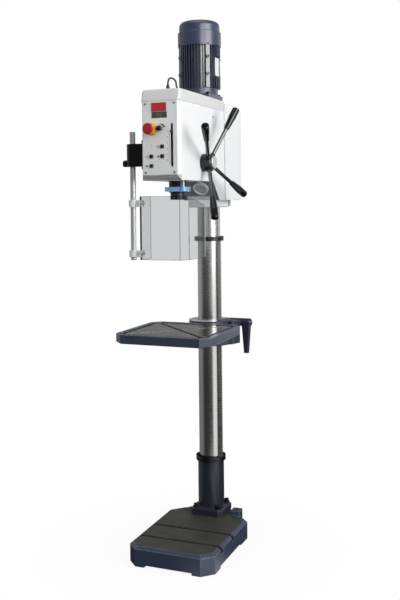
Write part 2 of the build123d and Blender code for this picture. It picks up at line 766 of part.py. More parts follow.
# Worm shaft with the crank on its left end
crank_x = CRANK_HUB_IN - CRANK_HUB_L
grip_place = TANGENT * (WHEEL_T + CRANK_ARM_L) + Vector(0, 0, WORM_Z)
with BuildPart() as worm_crank:
    with BuildSketch(lift_plane(crank_x, WHEEL_T, WORM_Z, "worm")):
        Circle(LIFT_SHAFT_R)
    extrude(amount=WORM_END - crank_x)
    ridges = int(WORM_L / WORM_PITCH)
    for ridge in range(ridges):
        ridge_x = LIFT_R + (ridge - (ridges - 1) / 2) * WORM_PITCH
        with BuildSketch(lift_plane(ridge_x, WHEEL_T, WORM_Z, "worm")):
            Circle(WORM_R)
        extrude(amount=WORM_PITCH / 4, both=True)
    with BuildSketch(lift_plane(LIFT_R, WHEEL_T, WORM_Z, "worm")):
        Circle(WORM_ROOT_R)
    extrude(amount=WORM_L / 2, both=True)
    with BuildSketch(lift_plane(crank_x, WHEEL_T, WORM_Z, "worm")):
        Circle(CRANK_HUB_R)
    extrude(amount=CRANK_HUB_L)
    with BuildSketch(lift_plane(crank_x, WHEEL_T, WORM_Z, "worm")):
        with BuildLine():
            Polyline(
                (0, -CRANK_ARM_W / 2), (CRANK_ARM_L, -CRANK_TIP_W / 2),
                (CRANK_ARM_L, CRANK_TIP_W / 2), (0, CRANK_ARM_W / 2), close=True,
            )
        make_face()
        with Locations((CRANK_ARM_L, 0)):
            Circle(CRANK_TIP_W / 2)
    extrude(amount=CRANK_ARM_T)
    with BuildSketch(lift_plane(crank_x, WHEEL_T + CRANK_ARM_L, WORM_Z, "worm")):
        Circle(CRANK_PIN_R)
    extrude(amount=-GRIP_L)
save(worm_crank, "worm_crank")

swell_x = crank_x - GRIP_SWELL_L
with BuildPart() as crank_grip:
    with BuildSketch(Plane(RADIAL * (crank_x - GAP) + grip_place, x_dir=TANGENT, z_dir=-RADIAL)):
        Circle(GRIP_NECK_R)
    with BuildSketch(Plane(RADIAL * swell_x + grip_place, x_dir=TANGENT, z_dir=-RADIAL)):
        Circle(GRIP_R)
    loft()
    with BuildSketch(Plane(RADIAL * swell_x + grip_place, x_dir=TANGENT, z_dir=-RADIAL)):
        Circle(GRIP_R)
    extrude(amount=GRIP_L - GRIP_SWELL_L + GRIP_CLOSED_L)
    fillet(crank_grip.edges().sort_by(Axis(origin=(0, 0, 0), direction=-RADIAL))[-1], GRIP_END)
    with BuildSketch(Plane(RADIAL * crank_x + grip_place, x_dir=TANGENT, z_dir=-RADIAL)):
        Circle(CRANK_PIN_R + FIT)
    extrude(amount=GRIP_L + FIT, mode=Mode.SUBTRACT)
save(crank_grip, "crank_grip")

# Table clamp: bolt through the collar with a tapered lever on its right end
clamp_hub_x = CLAMP_BOSS_X + GAP
with BuildPart() as table_clamp:
    with BuildSketch(cross_plane(CLAMP_NUT_X - CLAMP_NUT_L, CLAMP_Y, CLAMP_Z)):
        Circle(CLAMP_BOLT_R)
    extrude(amount=clamp_hub_x - CLAMP_NUT_X + CLAMP_NUT_L)
    with BuildSketch(cross_plane(CLAMP_NUT_X, CLAMP_Y, CLAMP_Z)):
        Circle(CLAMP_NUT_R)
    extrude(amount=-CLAMP_NUT_L)
    with BuildSketch(cross_plane(clamp_hub_x, CLAMP_Y, CLAMP_Z)):
        Circle(CLAMP_HUB_R)
    extrude(amount=CLAMP_HUB_L)
    chamfer(faces().sort_by(Axis.X)[-1].edges(), CLAMP_HUB_EDGE)
    clamp_mid = clamp_hub_x + CLAMP_HUB_L / 2
    with BuildSketch(Plane((clamp_mid, CLAMP_Y, CLAMP_Z))):
        RectangleRounded(*CLAMP_ARM_TOP, CLAMP_ARM_ROUND)
    with BuildSketch(Plane((clamp_mid, CLAMP_Y, CLAMP_Z - CLAMP_ARM_L))):
        RectangleRounded(*CLAMP_ARM_TIP, CLAMP_ARM_ROUND)
    loft()
save(table_clamp, "table_clamp")

# Table: rim, coolant channel, machined plate and two crossing T-slots
table_place = (0, SPINDLE_Y)
slot_length = sqrt(TABLE_PLATE_W ** 2 + TABLE_PLATE_D ** 2)
plate_top = TABLE_TOP - TABLE_PLATE_DROP
with BuildPart() as table:
    with BuildSketch(Plane.XY.offset(TABLE_BOTTOM)):
        with Locations(table_place):
            Rectangle(TABLE_W, TABLE_D)
        chamfer(vertices(), TABLE_CORNER)
    extrude(amount=TABLE_TOP - TABLE_BOTTOM)
    chamfer(faces().sort_by(Axis.Z)[0].edges(), TABLE_EDGE)
    with BuildSketch(Plane.XY.offset(TABLE_TOP)):
        with Locations(table_place):
            Rectangle(TABLE_W - 2 * TABLE_RIM, TABLE_D - 2 * TABLE_RIM)
        chamfer(vertices(), TABLE_CORNER - TABLE_RIM * (2 - sqrt(2)))
    extrude(amount=-TABLE_PLATE_DROP, mode=Mode.SUBTRACT)
    with BuildSketch(Plane.XY.offset(plate_top)):
        with Locations(table_place):
            Rectangle(TABLE_W - 2 * TABLE_RIM, TABLE_D - 2 * TABLE_RIM)
        chamfer(vertices(), TABLE_CORNER - TABLE_RIM * (2 - sqrt(2)))
        with Locations(table_place):
            Rectangle(TABLE_PLATE_W, TABLE_PLATE_D, mode=Mode.SUBTRACT)
    extrude(amount=-CHANNEL_DEPTH, mode=Mode.SUBTRACT)
    for slot_turn in (45, -45):
        with BuildSketch(Plane.XY.offset(plate_top)):
            with Locations(Location((0, SPINDLE_Y, 0), (0, 0, slot_turn))):
                Rectangle(slot_length, TABLE_SLOT_W)
            with Locations(table_place):
                Rectangle(TABLE_PLATE_W, TABLE_PLATE_D, mode=Mode.INTERSECT)
        extrude(amount=-TABLE_SLOT_NECK - TABLE_SLOT_FOOT_H, mode=Mode.SUBTRACT)
        with BuildSketch(Plane.XY.offset(plate_top - TABLE_SLOT_NECK)):
            with Locations(Location((0, SPINDLE_Y, 0), (0, 0, slot_turn))):
                Rectangle(slot_length, TABLE_SLOT_FOOT_W)
            with Locations(table_place):
                Rectangle(TABLE_PLATE_W, TABLE_PLATE_D, mode=Mode.INTERSECT)
        extrude(amount=-TABLE_SLOT_FOOT_H, mode=Mode.SUBTRACT)
save(table, "table")

# Head casting: column block with sloping front, cheeks for the feed shaft, quill housing and gear case
with BuildPart() as head_casting:
    with BuildSketch(Plane.YZ):
        with BuildLine():
            Polyline(
                (SLOPE_FRONT, HEAD_BOTTOM), (SLOPE_REAR, NECK_BOTTOM), (CASTING_REAR, NECK_BOTTOM),
                (CASTING_REAR, CASE_FLOOR), (SLOPE_FRONT, CASE_FLOOR), close=True,
            )
        make_face()
    extrude(amount=CASTING_HALF, both=True)
    with BuildSketch(Plane.YZ):
        with BuildLine():
            Polyline(
                (CHEEK_FRONT, CHEEK_BOTTOM), (SLOPE_FRONT, CHEEK_BOTTOM),
                (SLOPE_FRONT, CASE_FLOOR), (CHEEK_FRONT, CASE_FLOOR), close=True,
            )
        make_face()
    extrude(amount=CASTING_HALF, both=True)
    with BuildSketch(shaft_plane(SPINDLE_Y, HEAD_BOTTOM + SHELL_T)):
        Circle(QUILL_HOUSING_R)
    extrude(amount=CASE_FLOOR - HEAD_BOTTOM - SHELL_T)
    with BuildSketch(shaft_plane((CASE_FRONT + CASE_REAR) / 2, CASE_FLOOR)):
        Rectangle(2 * CASTING_HALF, CASE_REAR - CASE_FRONT)
    extrude(amount=CASE_TOP - CASE_FLOOR)
    with BuildSketch(shaft_plane((CASE_FRONT + CASE_REAR) / 2, CASE_FLOOR + CASE_FLOOR_T)):
        Rectangle(2 * (CASTING_HALF - CASE_WALL), CASE_REAR - CASE_FRONT - 2 * CASE_WALL)
    extrude(amount=CASE_TOP - CASE_FLOOR, mode=Mode.SUBTRACT)
    with BuildSketch(shaft_plane(SPINDLE_Y, HEAD_BOTTOM)):
        Circle(QUILL_R + FIT)
    extrude(amount=CASE_FLOOR - HEAD_BOTTOM, mode=Mode.SUBTRACT)
    with BuildSketch(shaft_plane(SPINDLE_Y, CASE_FLOOR)):
        Circle(SLEEVE_BEARING_R + FIT)
    extrude(amount=CASE_FLOOR_T, mode=Mode.SUBTRACT)
    with BuildSketch(Plane.XY.offset(CASE_FLOOR + CASE_FLOOR_T)):
        with Locations((0, FIRST_Y), (0, SECOND_Y)):
            Circle(BEARING_R + FIT)
    extrude(amount=-BEARING_H, mode=Mode.SUBTRACT)
    with BuildSketch(cross_plane(0, FEED_Y, FEED_Z)):
        Circle(FEED_TIP_R + CHAMBER_ROOM)
    extrude(amount=FEED_FACE / 2 + CHAMBER_ROOM, both=True, mode=Mode.SUBTRACT)
    with BuildSketch(cross_plane(0, FEED_Y, FEED_Z)):
        Circle(BUSH_R + FIT)
    extrude(amount=CASTING_HALF, both=True, mode=Mode.SUBTRACT)
    with BuildSketch(Plane.XY.offset(NECK_BOTTOM)):
        Circle(COLUMN_R + FIT)
    extrude(amount=COLUMN_TOP - NECK_BOTTOM, mode=Mode.SUBTRACT)
    with BuildSketch(Plane.XY.offset(NECK_BOTTOM)):
        with PolarLocations(COLLAR_SCREW_PCD / 2, 4, start_angle=45):
            Circle(COLLAR_SCREW_R + FIT)
    extrude(amount=COLLAR_SCREW_L, mode=Mode.SUBTRACT)
    pocket_front = SLOPE_FRONT + POCKET_WALL
    pocket_low = COLUMN_TOP + POCKET_WALL
    pocket_high = CASE_FLOOR - POCKET_WALL
    with BuildSketch(Plane.YZ):
        with BuildLine():
            Polyline(
                (pocket_front, pocket_low), (CASTING_REAR, pocket_low),
                (CASTING_REAR, pocket_high), (pocket_front, pocket_high), close=True,
            )
        make_face()
    extrude(amount=CASTING_HALF - POCKET_WALL, both=True, mode=Mode.SUBTRACT)
save(head_casting, "head_casting")

# Square collar under the head, screwed up into the casting
collar_head_z = COLLAR_BOTTOM + COLLAR_SCREW_HEAD_H + GAP
with BuildPart() as column_collar:
    with BuildSketch(Plane.XY.offset(COLLAR_BOTTOM)):
        RectangleRounded(COLLAR_W, COLLAR_D, COLLAR_CORNER)
    extrude(amount=NECK_BOTTOM - COLLAR_BOTTOM)
    chamfer(faces().sort_by(Axis.Z)[0].edges(), COLLAR_EDGE)
    with BuildSketch(Plane.XY.offset(COLLAR_BOTTOM)):
        Circle(COLUMN_R + FIT)
    extrude(amount=NECK_BOTTOM - COLLAR_BOTTOM, mode=Mode.SUBTRACT)
    with BuildSketch(Plane.XY.offset(COLLAR_BOTTOM)):
        with PolarLocations(COLLAR_SCREW_PCD / 2, 4, start_angle=45):
            Circle(COLLAR_SCREW_HEAD_R + GAP)
    extrude(amount=collar_head_z - COLLAR_BOTTOM, mode=Mode.SUBTRACT)
    with BuildSketch(Plane.XY.offset(COLLAR_BOTTOM)):
        with PolarLocations(COLLAR_SCREW_PCD / 2, 4, start_angle=45):
            Circle(COLLAR_SCREW_R + GAP)
    extrude(amount=NECK_BOTTOM - COLLAR_BOTTOM, mode=Mode.SUBTRACT)
save(column_collar, "column_collar")

# Gear case cover with the square pedestal that carries the motor
with BuildPart() as gearcase_cover:
    cover_rear = MOTOR_Y + PEDESTAL_HALF
    with BuildSketch(shaft_plane((CASE_FRONT + cover_rear) / 2, CASE_TOP)):
        Rectangle(2 * CASTING_HALF, cover_rear - CASE_FRONT)
    extrude(amount=COVER_T)
    with BuildSketch(shaft_plane(MOTOR_Y, CASE_TOP)):
        Rectangle(2 * PEDESTAL_HALF, 2 * PEDESTAL_HALF)
    extrude(amount=MOTOR_BASE - CASE_TOP)
    with BuildSketch(shaft_plane(MOTOR_Y, CASE_TOP)):
        Rectangle(2 * (PEDESTAL_HALF - PEDESTAL_WALL), 2 * (PEDESTAL_HALF - PEDESTAL_WALL))
    extrude(amount=MOTOR_BASE - CASE_TOP, mode=Mode.SUBTRACT)
    with BuildSketch(shaft_plane(MOTOR_Y, MOTOR_BASE)):
        with GridLocations(MOTOR_BOLT_PITCH, MOTOR_BOLT_PITCH, 2, 2):
            Circle(MOTOR_BOLT_R + FIT)
    extrude(amount=-MOTOR_BOLT_DEPTH - GAP, mode=Mode.SUBTRACT)
    with BuildSketch(Plane.XY.offset(CASE_TOP)):
        with Locations((0, FIRST_Y), (0, SECOND_Y)):
            Circle(BEARING_R + FIT)
        with Locations((0, SPINDLE_Y)):
            Circle(SLEEVE_BEARING_R + FIT)
    extrude(amount=BEARING_H, mode=Mode.SUBTRACT)
save(gearcase_cover, "gearcase_cover")

# Layshafts, each with a large gear driven from the motor's side and a small gear that drives the next
big_gap = gap_turn(BIG_TEETH, 90)
layshaft_low = CASE_FLOOR + CASE_FLOOR_T - BEARING_H + GAP
layshaft_high = CASE_TOP + BEARING_H - GAP
with BuildPart() as first_layshaft:
    with BuildSketch(shaft_plane(FIRST_Y, layshaft_low)):
        Circle(SHAFT_R)
    extrude(amount=layshaft_high - layshaft_low)
    with BuildSketch(shaft_plane(FIRST_Y, GEAR_LEVELS[2])):
        with BuildLine():
            Polyline(*gear_points(BIG_TEETH, MODULE, big_gap), close=True)
        make_face()
    extrude(amount=GEAR_FACE)
    with BuildSketch(shaft_plane(FIRST_Y, GEAR_LEVELS[1])):
        with BuildLine():
            Polyline(*gear_points(SMALL_TEETH, MODULE, -90), close=True)
        make_face()
    extrude(amount=GEAR_FACE)
save(first_layshaft, "first_layshaft")

with BuildPart() as second_layshaft:
    with BuildSketch(shaft_plane(SECOND_Y, layshaft_low)):
        Circle(SHAFT_R)
    extrude(amount=layshaft_high - layshaft_low)
    with BuildSketch(shaft_plane(SECOND_Y, GEAR_LEVELS[1])):
        with BuildLine():
            Polyline(*gear_points(BIG_TEETH, MODULE, big_gap), close=True)
        make_face()
    extrude(amount=GEAR_FACE)
    with BuildSketch(shaft_plane(SECOND_Y, GEAR_LEVELS[0])):
        with BuildLine():
            Polyline(*gear_points(SMALL_TEETH, MODULE, -90), close=True)
        make_face()
    extrude(amount=GEAR_FACE)
save(second_layshaft, "second_layshaft")

# Drive sleeve: the last gear on a splined tube that reaches down into the quill
with BuildPart() as drive_sleeve:
    with BuildSketch(shaft_plane(SPINDLE_Y, SLEEVE_BOTTOM)):
        Circle(SLEEVE_R)
    extrude(amount=SLEEVE_TOP - GAP - SLEEVE_BOTTOM)
    with BuildSketch(shaft_plane(SPINDLE_Y, GEAR_LEVELS[0])):
        with BuildLine():
            Polyline(*gear_points(BIG_TEETH, MODULE, big_gap), close=True)
        make_face()
    extrude(amount=GEAR_FACE)
    with BuildSketch(shaft_plane(SPINDLE_Y, SLEEVE_BOTTOM)):
        Circle(SPLINE_R + GAP)
        with PolarLocations(0, SPLINES):
            Rectangle(SPLINE_TIP_R + GAP, SPLINE_W + 2 * GAP, align=(Align.MIN, Align.CENTER))
    extrude(amount=SLEEVE_TOP - SLEEVE_BOTTOM, mode=Mode.SUBTRACT)
save(drive_sleeve, "drive_sleeve")

# Quill with the feed rack cut into its back
feed_pitch = pi * FEED_MODULE
rack_tip = RACK_PITCH_OFFSET + ADDENDUM * FEED_MODULE
rack_root = RACK_PITCH_OFFSET - DEDENDUM * FEED_MODULE
rack_gaps = int((QUILL_TOP - FEED_Z) / feed_pitch) + 1
with BuildPart() as quill:
    with BuildSketch(shaft_plane(SPINDLE_Y, QUILL_BOTTOM)):
        Circle(QUILL_R)
        Circle(QUILL_BORE_R, mode=Mode.SUBTRACT)
    extrude(amount=QUILL_TOP - QUILL_BOTTOM)
    with BuildSketch(shaft_plane(SPINDLE_Y, QUILL_BOTTOM)):
        Circle(QUILL_SEAT_R)
    extrude(amount=QUILL_SEAT_H, mode=Mode.SUBTRACT)
    flat_low = FEED_Z - 3 * feed_pitch
    with BuildSketch(Plane.YZ):
        with BuildLine():
            Polyline(
                (SPINDLE_Y + rack_tip, flat_low), (SPINDLE_Y + QUILL_R, flat_low),
                (SPINDLE_Y + QUILL_R, QUILL_TOP), (SPINDLE_Y + rack_tip, QUILL_TOP), close=True,
            )
        make_face()
    extrude(amount=RACK_HALF, both=True, mode=Mode.SUBTRACT)
    with BuildSketch(Plane.YZ):
        for gap in range(-2, rack_gaps):
            gap_z = FEED_Z + gap * feed_pitch
            with BuildLine():
                Polyline(
                    (SPINDLE_Y + rack_root, gap_z - (0.5 - ROOT_SHARE) * feed_pitch),
                    (SPINDLE_Y + rack_tip, gap_z - (0.5 - TIP_SHARE) * feed_pitch),
                    (SPINDLE_Y + rack_tip, gap_z + (0.5 - TIP_SHARE) * feed_pitch),
                    (SPINDLE_Y + rack_root, gap_z + (0.5 - ROOT_SHARE) * feed_pitch),
                    close=True,
                )
            make_face()
    extrude(amount=RACK_HALF, both=True, mode=Mode.SUBTRACT)
save(quill, "quill")

with BuildPart() as quill_bearings:
    with BuildSketch(shaft_plane(SPINDLE_Y, QUILL_BOTTOM + QUILL_SEAT_H)):
        Circle(QUILL_SEAT_R - FIT)
        Circle(SPINDLE_LOW_R + FIT, mode=Mode.SUBTRACT)
    extrude(amount=-QUILL_BEARING_H)
    with BuildSketch(shaft_plane(SPINDLE_Y, UPPER_BEARING_Z)):
        Circle(QUILL_BORE_R - FIT)
        Circle(SPINDLE_MID_R + FIT, mode=Mode.SUBTRACT)
    extrude(amount=QUILL_BEARING_H)
save(quill_bearings, "quill_bearings")

# Spindle: nose with a taper socket, bearing seats and the splined top
spindle_shoulder = QUILL_BOTTOM - GAP
with BuildPart() as spindle:
    with BuildSketch(shaft_plane(SPINDLE_Y, NOSE_Z)):
        Circle(NOSE_R)
    extrude(amount=spindle_shoulder - NOSE_Z)
    chamfer(edges().filter_by(GeomType.CIRCLE), NOSE_EDGE)
    with BuildSketch(shaft_plane(SPINDLE_Y, NOSE_Z)):
        Circle(SPINDLE_LOW_R)
    extrude(amount=QUILL_BOTTOM + QUILL_SEAT_H - NOSE_Z)
    with BuildSketch(shaft_plane(SPINDLE_Y, NOSE_Z)):
        Circle(SPINDLE_MID_R)
    extrude(amount=SPLINE_BOTTOM - NOSE_Z)
    with BuildSketch(shaft_plane(SPINDLE_Y, SPLINE_BOTTOM)):
        Circle(SPLINE_R)
        with PolarLocations(0, SPLINES):
            Rectangle(SPLINE_TIP_R, SPLINE_W, align=(Align.MIN, Align.CENTER))
    extrude(amount=SPLINE_TOP - SPLINE_BOTTOM)
    with BuildSketch(Plane((0, SPINDLE_Y, 0), x_dir=(1, 0, 0), z_dir=(0, -1, 0))):
        with BuildLine():
            Polyline(
                (0, NOSE_Z), (TAPER_R, NOSE_Z),
                (TAPER_R - TAPER_DEPTH / TAPER_RATE / 2, NOSE_Z + TAPER_DEPTH), (0, NOSE_Z + TAPER_DEPTH),
                close=True,
            )
        make_face()
    revolve(axis=Axis((0, SPINDLE_Y, 0), (0, 0, 1)), mode=Mode.SUBTRACT)
save(spindle, "spindle")

# Depth collar clamped on the quill, with a lug for the depth rod
with BuildPart() as depth_collar:
    with BuildSketch(Plane.XY.offset(DEPTH_COLLAR_LOW)):
        with Locations((0, SPINDLE_Y)):
            Circle(DEPTH_COLLAR_R)
        with Locations((DEPTH_ROD_X, DEPTH_ROD_Y)):
            Circle(DEPTH_LUG_R)
        with Locations((0, SPINDLE_Y)):
            Circle(QUILL_R + FIT, mode=Mode.SUBTRACT)
    extrude(amount=DEPTH_COLLAR_H)
save(depth_collar, "depth_collar")

# Depth rod, its arm inside the head and the pointer that shows through the panel's slot
depth_top = DEPTH_COLLAR_LOW + DEPTH_COLLAR_H
with BuildPart() as depth_pointer:
    with BuildSketch(Plane((DEPTH_ROD_X, DEPTH_ROD_Y, depth_top))):
        Circle(DEPTH_ROD_R)
    extrude(amount=POINTER_Z + POINTER_BAR - depth_top)
    with Locations((DEPTH_ROD_X, PANEL_BACK + POINTER_T, POINTER_Z)):
        Box(POINTER_BAR, DEPTH_ROD_Y - PANEL_BACK - POINTER_T, POINTER_BAR,
            align=(Align.CENTER, Align.MIN, Align.CENTER))
    bar_left = DEPTH_ROD_X - POINTER_BAR / 2
    with Locations((bar_left, PANEL_BACK + POINTER_T, POINTER_Z)):
        Box(SLOT_X + POINTER_NECK / 2 - bar_left, POINTER_BAR, POINTER_BAR,
            align=(Align.MIN, Align.MIN, Align.CENTER))
    with Locations((SLOT_X, PANEL_BACK + POINTER_T, POINTER_Z)):
        Box(POINTER_NECK, 2 * POINTER_T + PANEL_T, POINTER_NECK,
            align=(Align.CENTER, Align.MAX, Align.CENTER))
    with Locations((SLOT_X, FACE_Y - GAP, POINTER_Z)):
        Box(POINTER_W, POINTER_T, POINTER_H, align=(Align.CENTER, Align.MAX, Align.CENTER))
save(depth_pointer, "depth_pointer")

# Feed shaft with the pinion that moves the quill
with BuildPart() as feed_shaft:
    with BuildSketch(cross_plane(FEED_LEFT, FEED_Y, FEED_Z)):
        Circle(FEED_SHAFT_R)
    extrude(amount=HUB_IN + DIAL_L + HUB_L - FEED_LEFT)
    with BuildSketch(cross_plane(0, FEED_Y, FEED_Z)):
        with BuildLine():
            Polyline(*gear_points(FEED_TEETH, FEED_MODULE, 180), close=True)
        make_face()
    extrude(amount=FEED_FACE / 2, both=True)
save(feed_shaft, "feed_shaft")

with BuildPart() as feed_bushes:
    for side in (-1, 1):
        with BuildSketch(cross_plane(side * CASTING_HALF, FEED_Y, FEED_Z)):
            Circle(BUSH_R)
            Circle(FEED_SHAFT_R + FIT, mode=Mode.SUBTRACT)
        extrude(amount=-side * BUSH_L)
save(feed_bushes, "feed_bushes")


def lever_plane(angle, reach):
    """Plane across a lever, at the given distance along it from the hub's axis."""
    tilt = radians(LEVER_TILT)
    turn = radians(angle)
    way = Vector(sin(tilt), cos(tilt) * cos(turn), cos(tilt) * sin(turn))
    return Plane(Vector(LEVER_X, FEED_Y, FEED_Z) + way * reach, z_dir=way)


# Hub of the star handle with its dial ring, and the four levers with their grips
with BuildPart() as feed_hub:
    with BuildSketch(cross_plane(HUB_IN, FEED_Y, FEED_Z)):
        Circle(DIAL_R)
    extrude(amount=DIAL_L)
    with BuildSketch(cross_plane(HUB_IN + DIAL_L, FEED_Y, FEED_Z)):
        Circle(HUB_R)
    extrude(amount=HUB_L)
    chamfer(faces().sort_by(Axis.X)[-1].edges(), HUB_EDGE)
    with BuildSketch(cross_plane(HUB_IN, FEED_Y, FEED_Z)):
        Circle(FEED_SHAFT_R + FIT)
    extrude(amount=DIAL_L + HUB_L, mode=Mode.SUBTRACT)
    for angle in LEVER_ANGLES:
        with BuildSketch(lever_plane(angle, LEVER_IN - GAP)):
            Circle(LEVER_R + FIT)
        extrude(amount=DIAL_R, mode=Mode.SUBTRACT)
save(feed_hub, "feed_hub")

with BuildPart() as hub_cap:
    with BuildSketch(cross_plane(HUB_IN + DIAL_L + HUB_L, FEED_Y, FEED_Z)):
        Circle(CAP_R)
    extrude(amount=CAP_L)
    fillet(faces().sort_by(Axis.X)[-1].edges(), CAP_EDGE)
save(hub_cap, "hub_cap")

with BuildPart() as feed_levers:
    for angle in LEVER_ANGLES:
        with BuildSketch(lever_plane(angle, LEVER_IN)):
            Circle(LEVER_R)
        extrude(amount=LEVER_L)
save(feed_levers, "feed_levers")

with BuildPart() as lever_grips:
    for angle in LEVER_ANGLES:
        with BuildSketch(lever_plane(angle, HANDLE_IN)):
            Circle(HANDLE_NECK_R)
        with BuildSketch(lever_plane(angle, HANDLE_IN + HANDLE_SWELL_L)):
            Circle(HANDLE_FAT_R)
        loft()
        with BuildSketch(lever_plane(angle, HANDLE_IN + HANDLE_SWELL_L)):
            Circle(HANDLE_FAT_R)
        extrude(amount=HANDLE_L - HANDLE_SWELL_L)
    tip_faces = lever_grips.faces().filter_by(GeomType.PLANE).sort_by(SortBy.AREA)[-4:]
    fillet(tip_faces.edges(), HANDLE_END)
    for angle in LEVER_ANGLES:
        with BuildSketch(lever_plane(angle, HANDLE_IN)):
            Circle(LEVER_R + FIT)
        extrude(amount=LEVER_IN + LEVER_L + GAP - HANDLE_IN, mode=Mode.SUBTRACT)
save(lever_grips, "lever_grips")

# Return spring in its case on the left of the head
case_x = -SHELL_HALF
with BuildPart() as spring_housing:
    with BuildSketch(cross_plane(case_x, FEED_Y, FEED_Z)):
        Circle(SPRING_CASE_R)
    extrude(amount=-SPRING_CASE_L)
    fillet(faces().sort_by(Axis.X)[0].edges(), SPRING_CASE_EDGE)
    with BuildSketch(cross_plane(case_x, FEED_Y, FEED_Z)):
        Circle(SPRING_CASE_R - SPRING_CASE_T)
    extrude(amount=-SPRING_CASE_L + SPRING_CASE_T, mode=Mode.SUBTRACT)
save(spring_housing, "spring_housing")

with BuildPart() as return_spring:
    with BuildSketch(cross_plane(case_x - SPRING_ROOM, FEED_Y, FEED_Z)):
        with BuildLine():
            near = (SPRING_IN_R, 0)
            for half in range(SPRING_HALF_TURNS):
                way = 1 if half % 2 == 0 else -1
                far = (-way * (SPRING_IN_R + (half + 1) * SPRING_STEP), 0)
                crown = (near[0] + far[0]) / 2
                ThreePointArc(near, (crown, way * abs(near[0] - far[0]) / 2), far)
                near = far
        trace(line_width=SPRING_T)
    extrude(amount=-SPRING_W)
save(return_spring, "return_spring")

# Head shell: side walls, bevelled front frame and bottom, open at the back, the top and the slope
with BuildPart() as head_shell:
    with BuildSketch(Plane.YZ):
        with BuildLine():
            Polyline(
                (SHELL_FRONT, HEAD_BOTTOM), (SLOPE_FRONT, HEAD_BOTTOM), (SLOPE_REAR, NECK_BOTTOM),
                (SEAM_Y, NECK_BOTTOM), (SEAM_Y, CASE_TOP), (SHELL_FRONT, CASE_TOP), close=True,
            )
        make_face()
    extrude(amount=SHELL_HALF, both=True)
    with BuildSketch(face_plane(0, SHELL_FRONT, (HEAD_BOTTOM + CASE_TOP) / 2)):
        Rectangle(2 * SHELL_HALF, CASE_TOP - HEAD_BOTTOM)
    with BuildSketch(face_plane(0, FACE_Y, (FACE_BOTTOM + CASE_TOP) / 2)):
        Rectangle(2 * FACE_HALF, CASE_TOP - FACE_BOTTOM)
    loft()
    inner = SHELL_HALF - SHELL_T
    with BuildSketch(Plane.YZ):
        with BuildLine():
            Polyline(
                (SHELL_FRONT, HEAD_BOTTOM + SHELL_T), (SLOPE_FRONT, HEAD_BOTTOM + SHELL_T),
                (SLOPE_FRONT, NECK_BOTTOM), (SEAM_Y, NECK_BOTTOM),
                (SEAM_Y, CASE_TOP), (SHELL_FRONT, CASE_TOP), close=True,
            )
        make_face()
    extrude(amount=inner, both=True, mode=Mode.SUBTRACT)
    with BuildSketch(face_plane(0, SHELL_FRONT, (PANEL_LOW + PANEL_HIGH) / 2)):
        Rectangle(2 * (PANEL_HALF - PANEL_LEDGE), PANEL_HIGH - PANEL_LOW - 2 * PANEL_LEDGE)
    extrude(amount=SHELL_FRONT - FACE_Y, mode=Mode.SUBTRACT)
    with BuildSketch(face_plane(0, PANEL_BACK, (PANEL_LOW + PANEL_HIGH) / 2)):
        Rectangle(2 * (PANEL_HALF + FIT), PANEL_HIGH - PANEL_LOW + 2 * FIT)
    extrude(amount=PANEL_T, mode=Mode.SUBTRACT)
    with BuildSketch(face_plane(0, PANEL_BACK, (PANEL_LOW + PANEL_HIGH) / 2)):
        with GridLocations(2 * PANEL_SCREW_X, PANEL_HIGH - PANEL_LOW - 2 * PANEL_SCREW_INSET, 2, 2):
            Circle(PANEL_SCREW_R + FIT)
    extrude(amount=-PANEL_SCREW_L, mode=Mode.SUBTRACT)
    with BuildSketch(Plane.XY.offset(HEAD_BOTTOM)):
        with Locations((0, SPINDLE_Y)):
            Circle(QUILL_HOUSING_R)
        with Locations((DEPTH_ROD_X, DEPTH_ROD_Y)):
            Circle(DEPTH_LUG_R)
    extrude(amount=SHELL_T, mode=Mode.SUBTRACT)
    with BuildSketch(cross_plane(-SHELL_HALF, FEED_Y, FEED_Z)):
        Circle(BUSH_R)
    extrude(amount=2 * SHELL_HALF, mode=Mode.SUBTRACT)
save(head_shell, "head_shell")

# Lid over the front of the head, with a raked front and a square opening for the motor's pedestal
with BuildPart() as head_lid:
    lid_front = FACE_Y + LID_RAKE
    with BuildSketch(Plane.YZ):
        with BuildLine():
            Polyline(
                (FACE_Y, CASE_TOP), (SEAM_Y, CASE_TOP), (SEAM_Y, LID_TOP), (lid_front, LID_TOP), close=True,
            )
        make_face()
    extrude(amount=SHELL_HALF, both=True)
    corner_edges = head_lid.faces().sort_by(Axis.Y)[0].edges().filter_by(Axis.X, reverse=True)
    chamfer(corner_edges, LID_EDGE)
    fillet(head_lid.faces().sort_by(Axis.Z)[-1].edges().sort_by(Axis.Y)[:-1], LID_EDGE)
    groove_edges = head_lid.faces().sort_by(Axis.Z)[0].edges().sort_by(Axis.Y)[:-1]
    chamfer(groove_edges, LID_GROOVE)
    with BuildSketch(Plane.YZ):
        with BuildLine():
            Polyline(
                (FACE_Y + LID_EDGE + SHELL_T, CASE_TOP), (SEAM_Y, CASE_TOP),
                (SEAM_Y, LID_TOP - SHELL_T), (lid_front + LID_EDGE + SHELL_T, LID_TOP - SHELL_T), close=True,
            )
        make_face()
    extrude(amount=SHELL_HALF - SHELL_T, both=True, mode=Mode.SUBTRACT)
    with BuildSketch(shaft_plane(MOTOR_Y, LID_TOP)):
        Rectangle(2 * (PEDESTAL_HALF + GAP), 2 * (PEDESTAL_HALF + GAP))
    extrude(amount=-SHELL_T, mode=Mode.SUBTRACT)
save(head_lid, "head_lid")

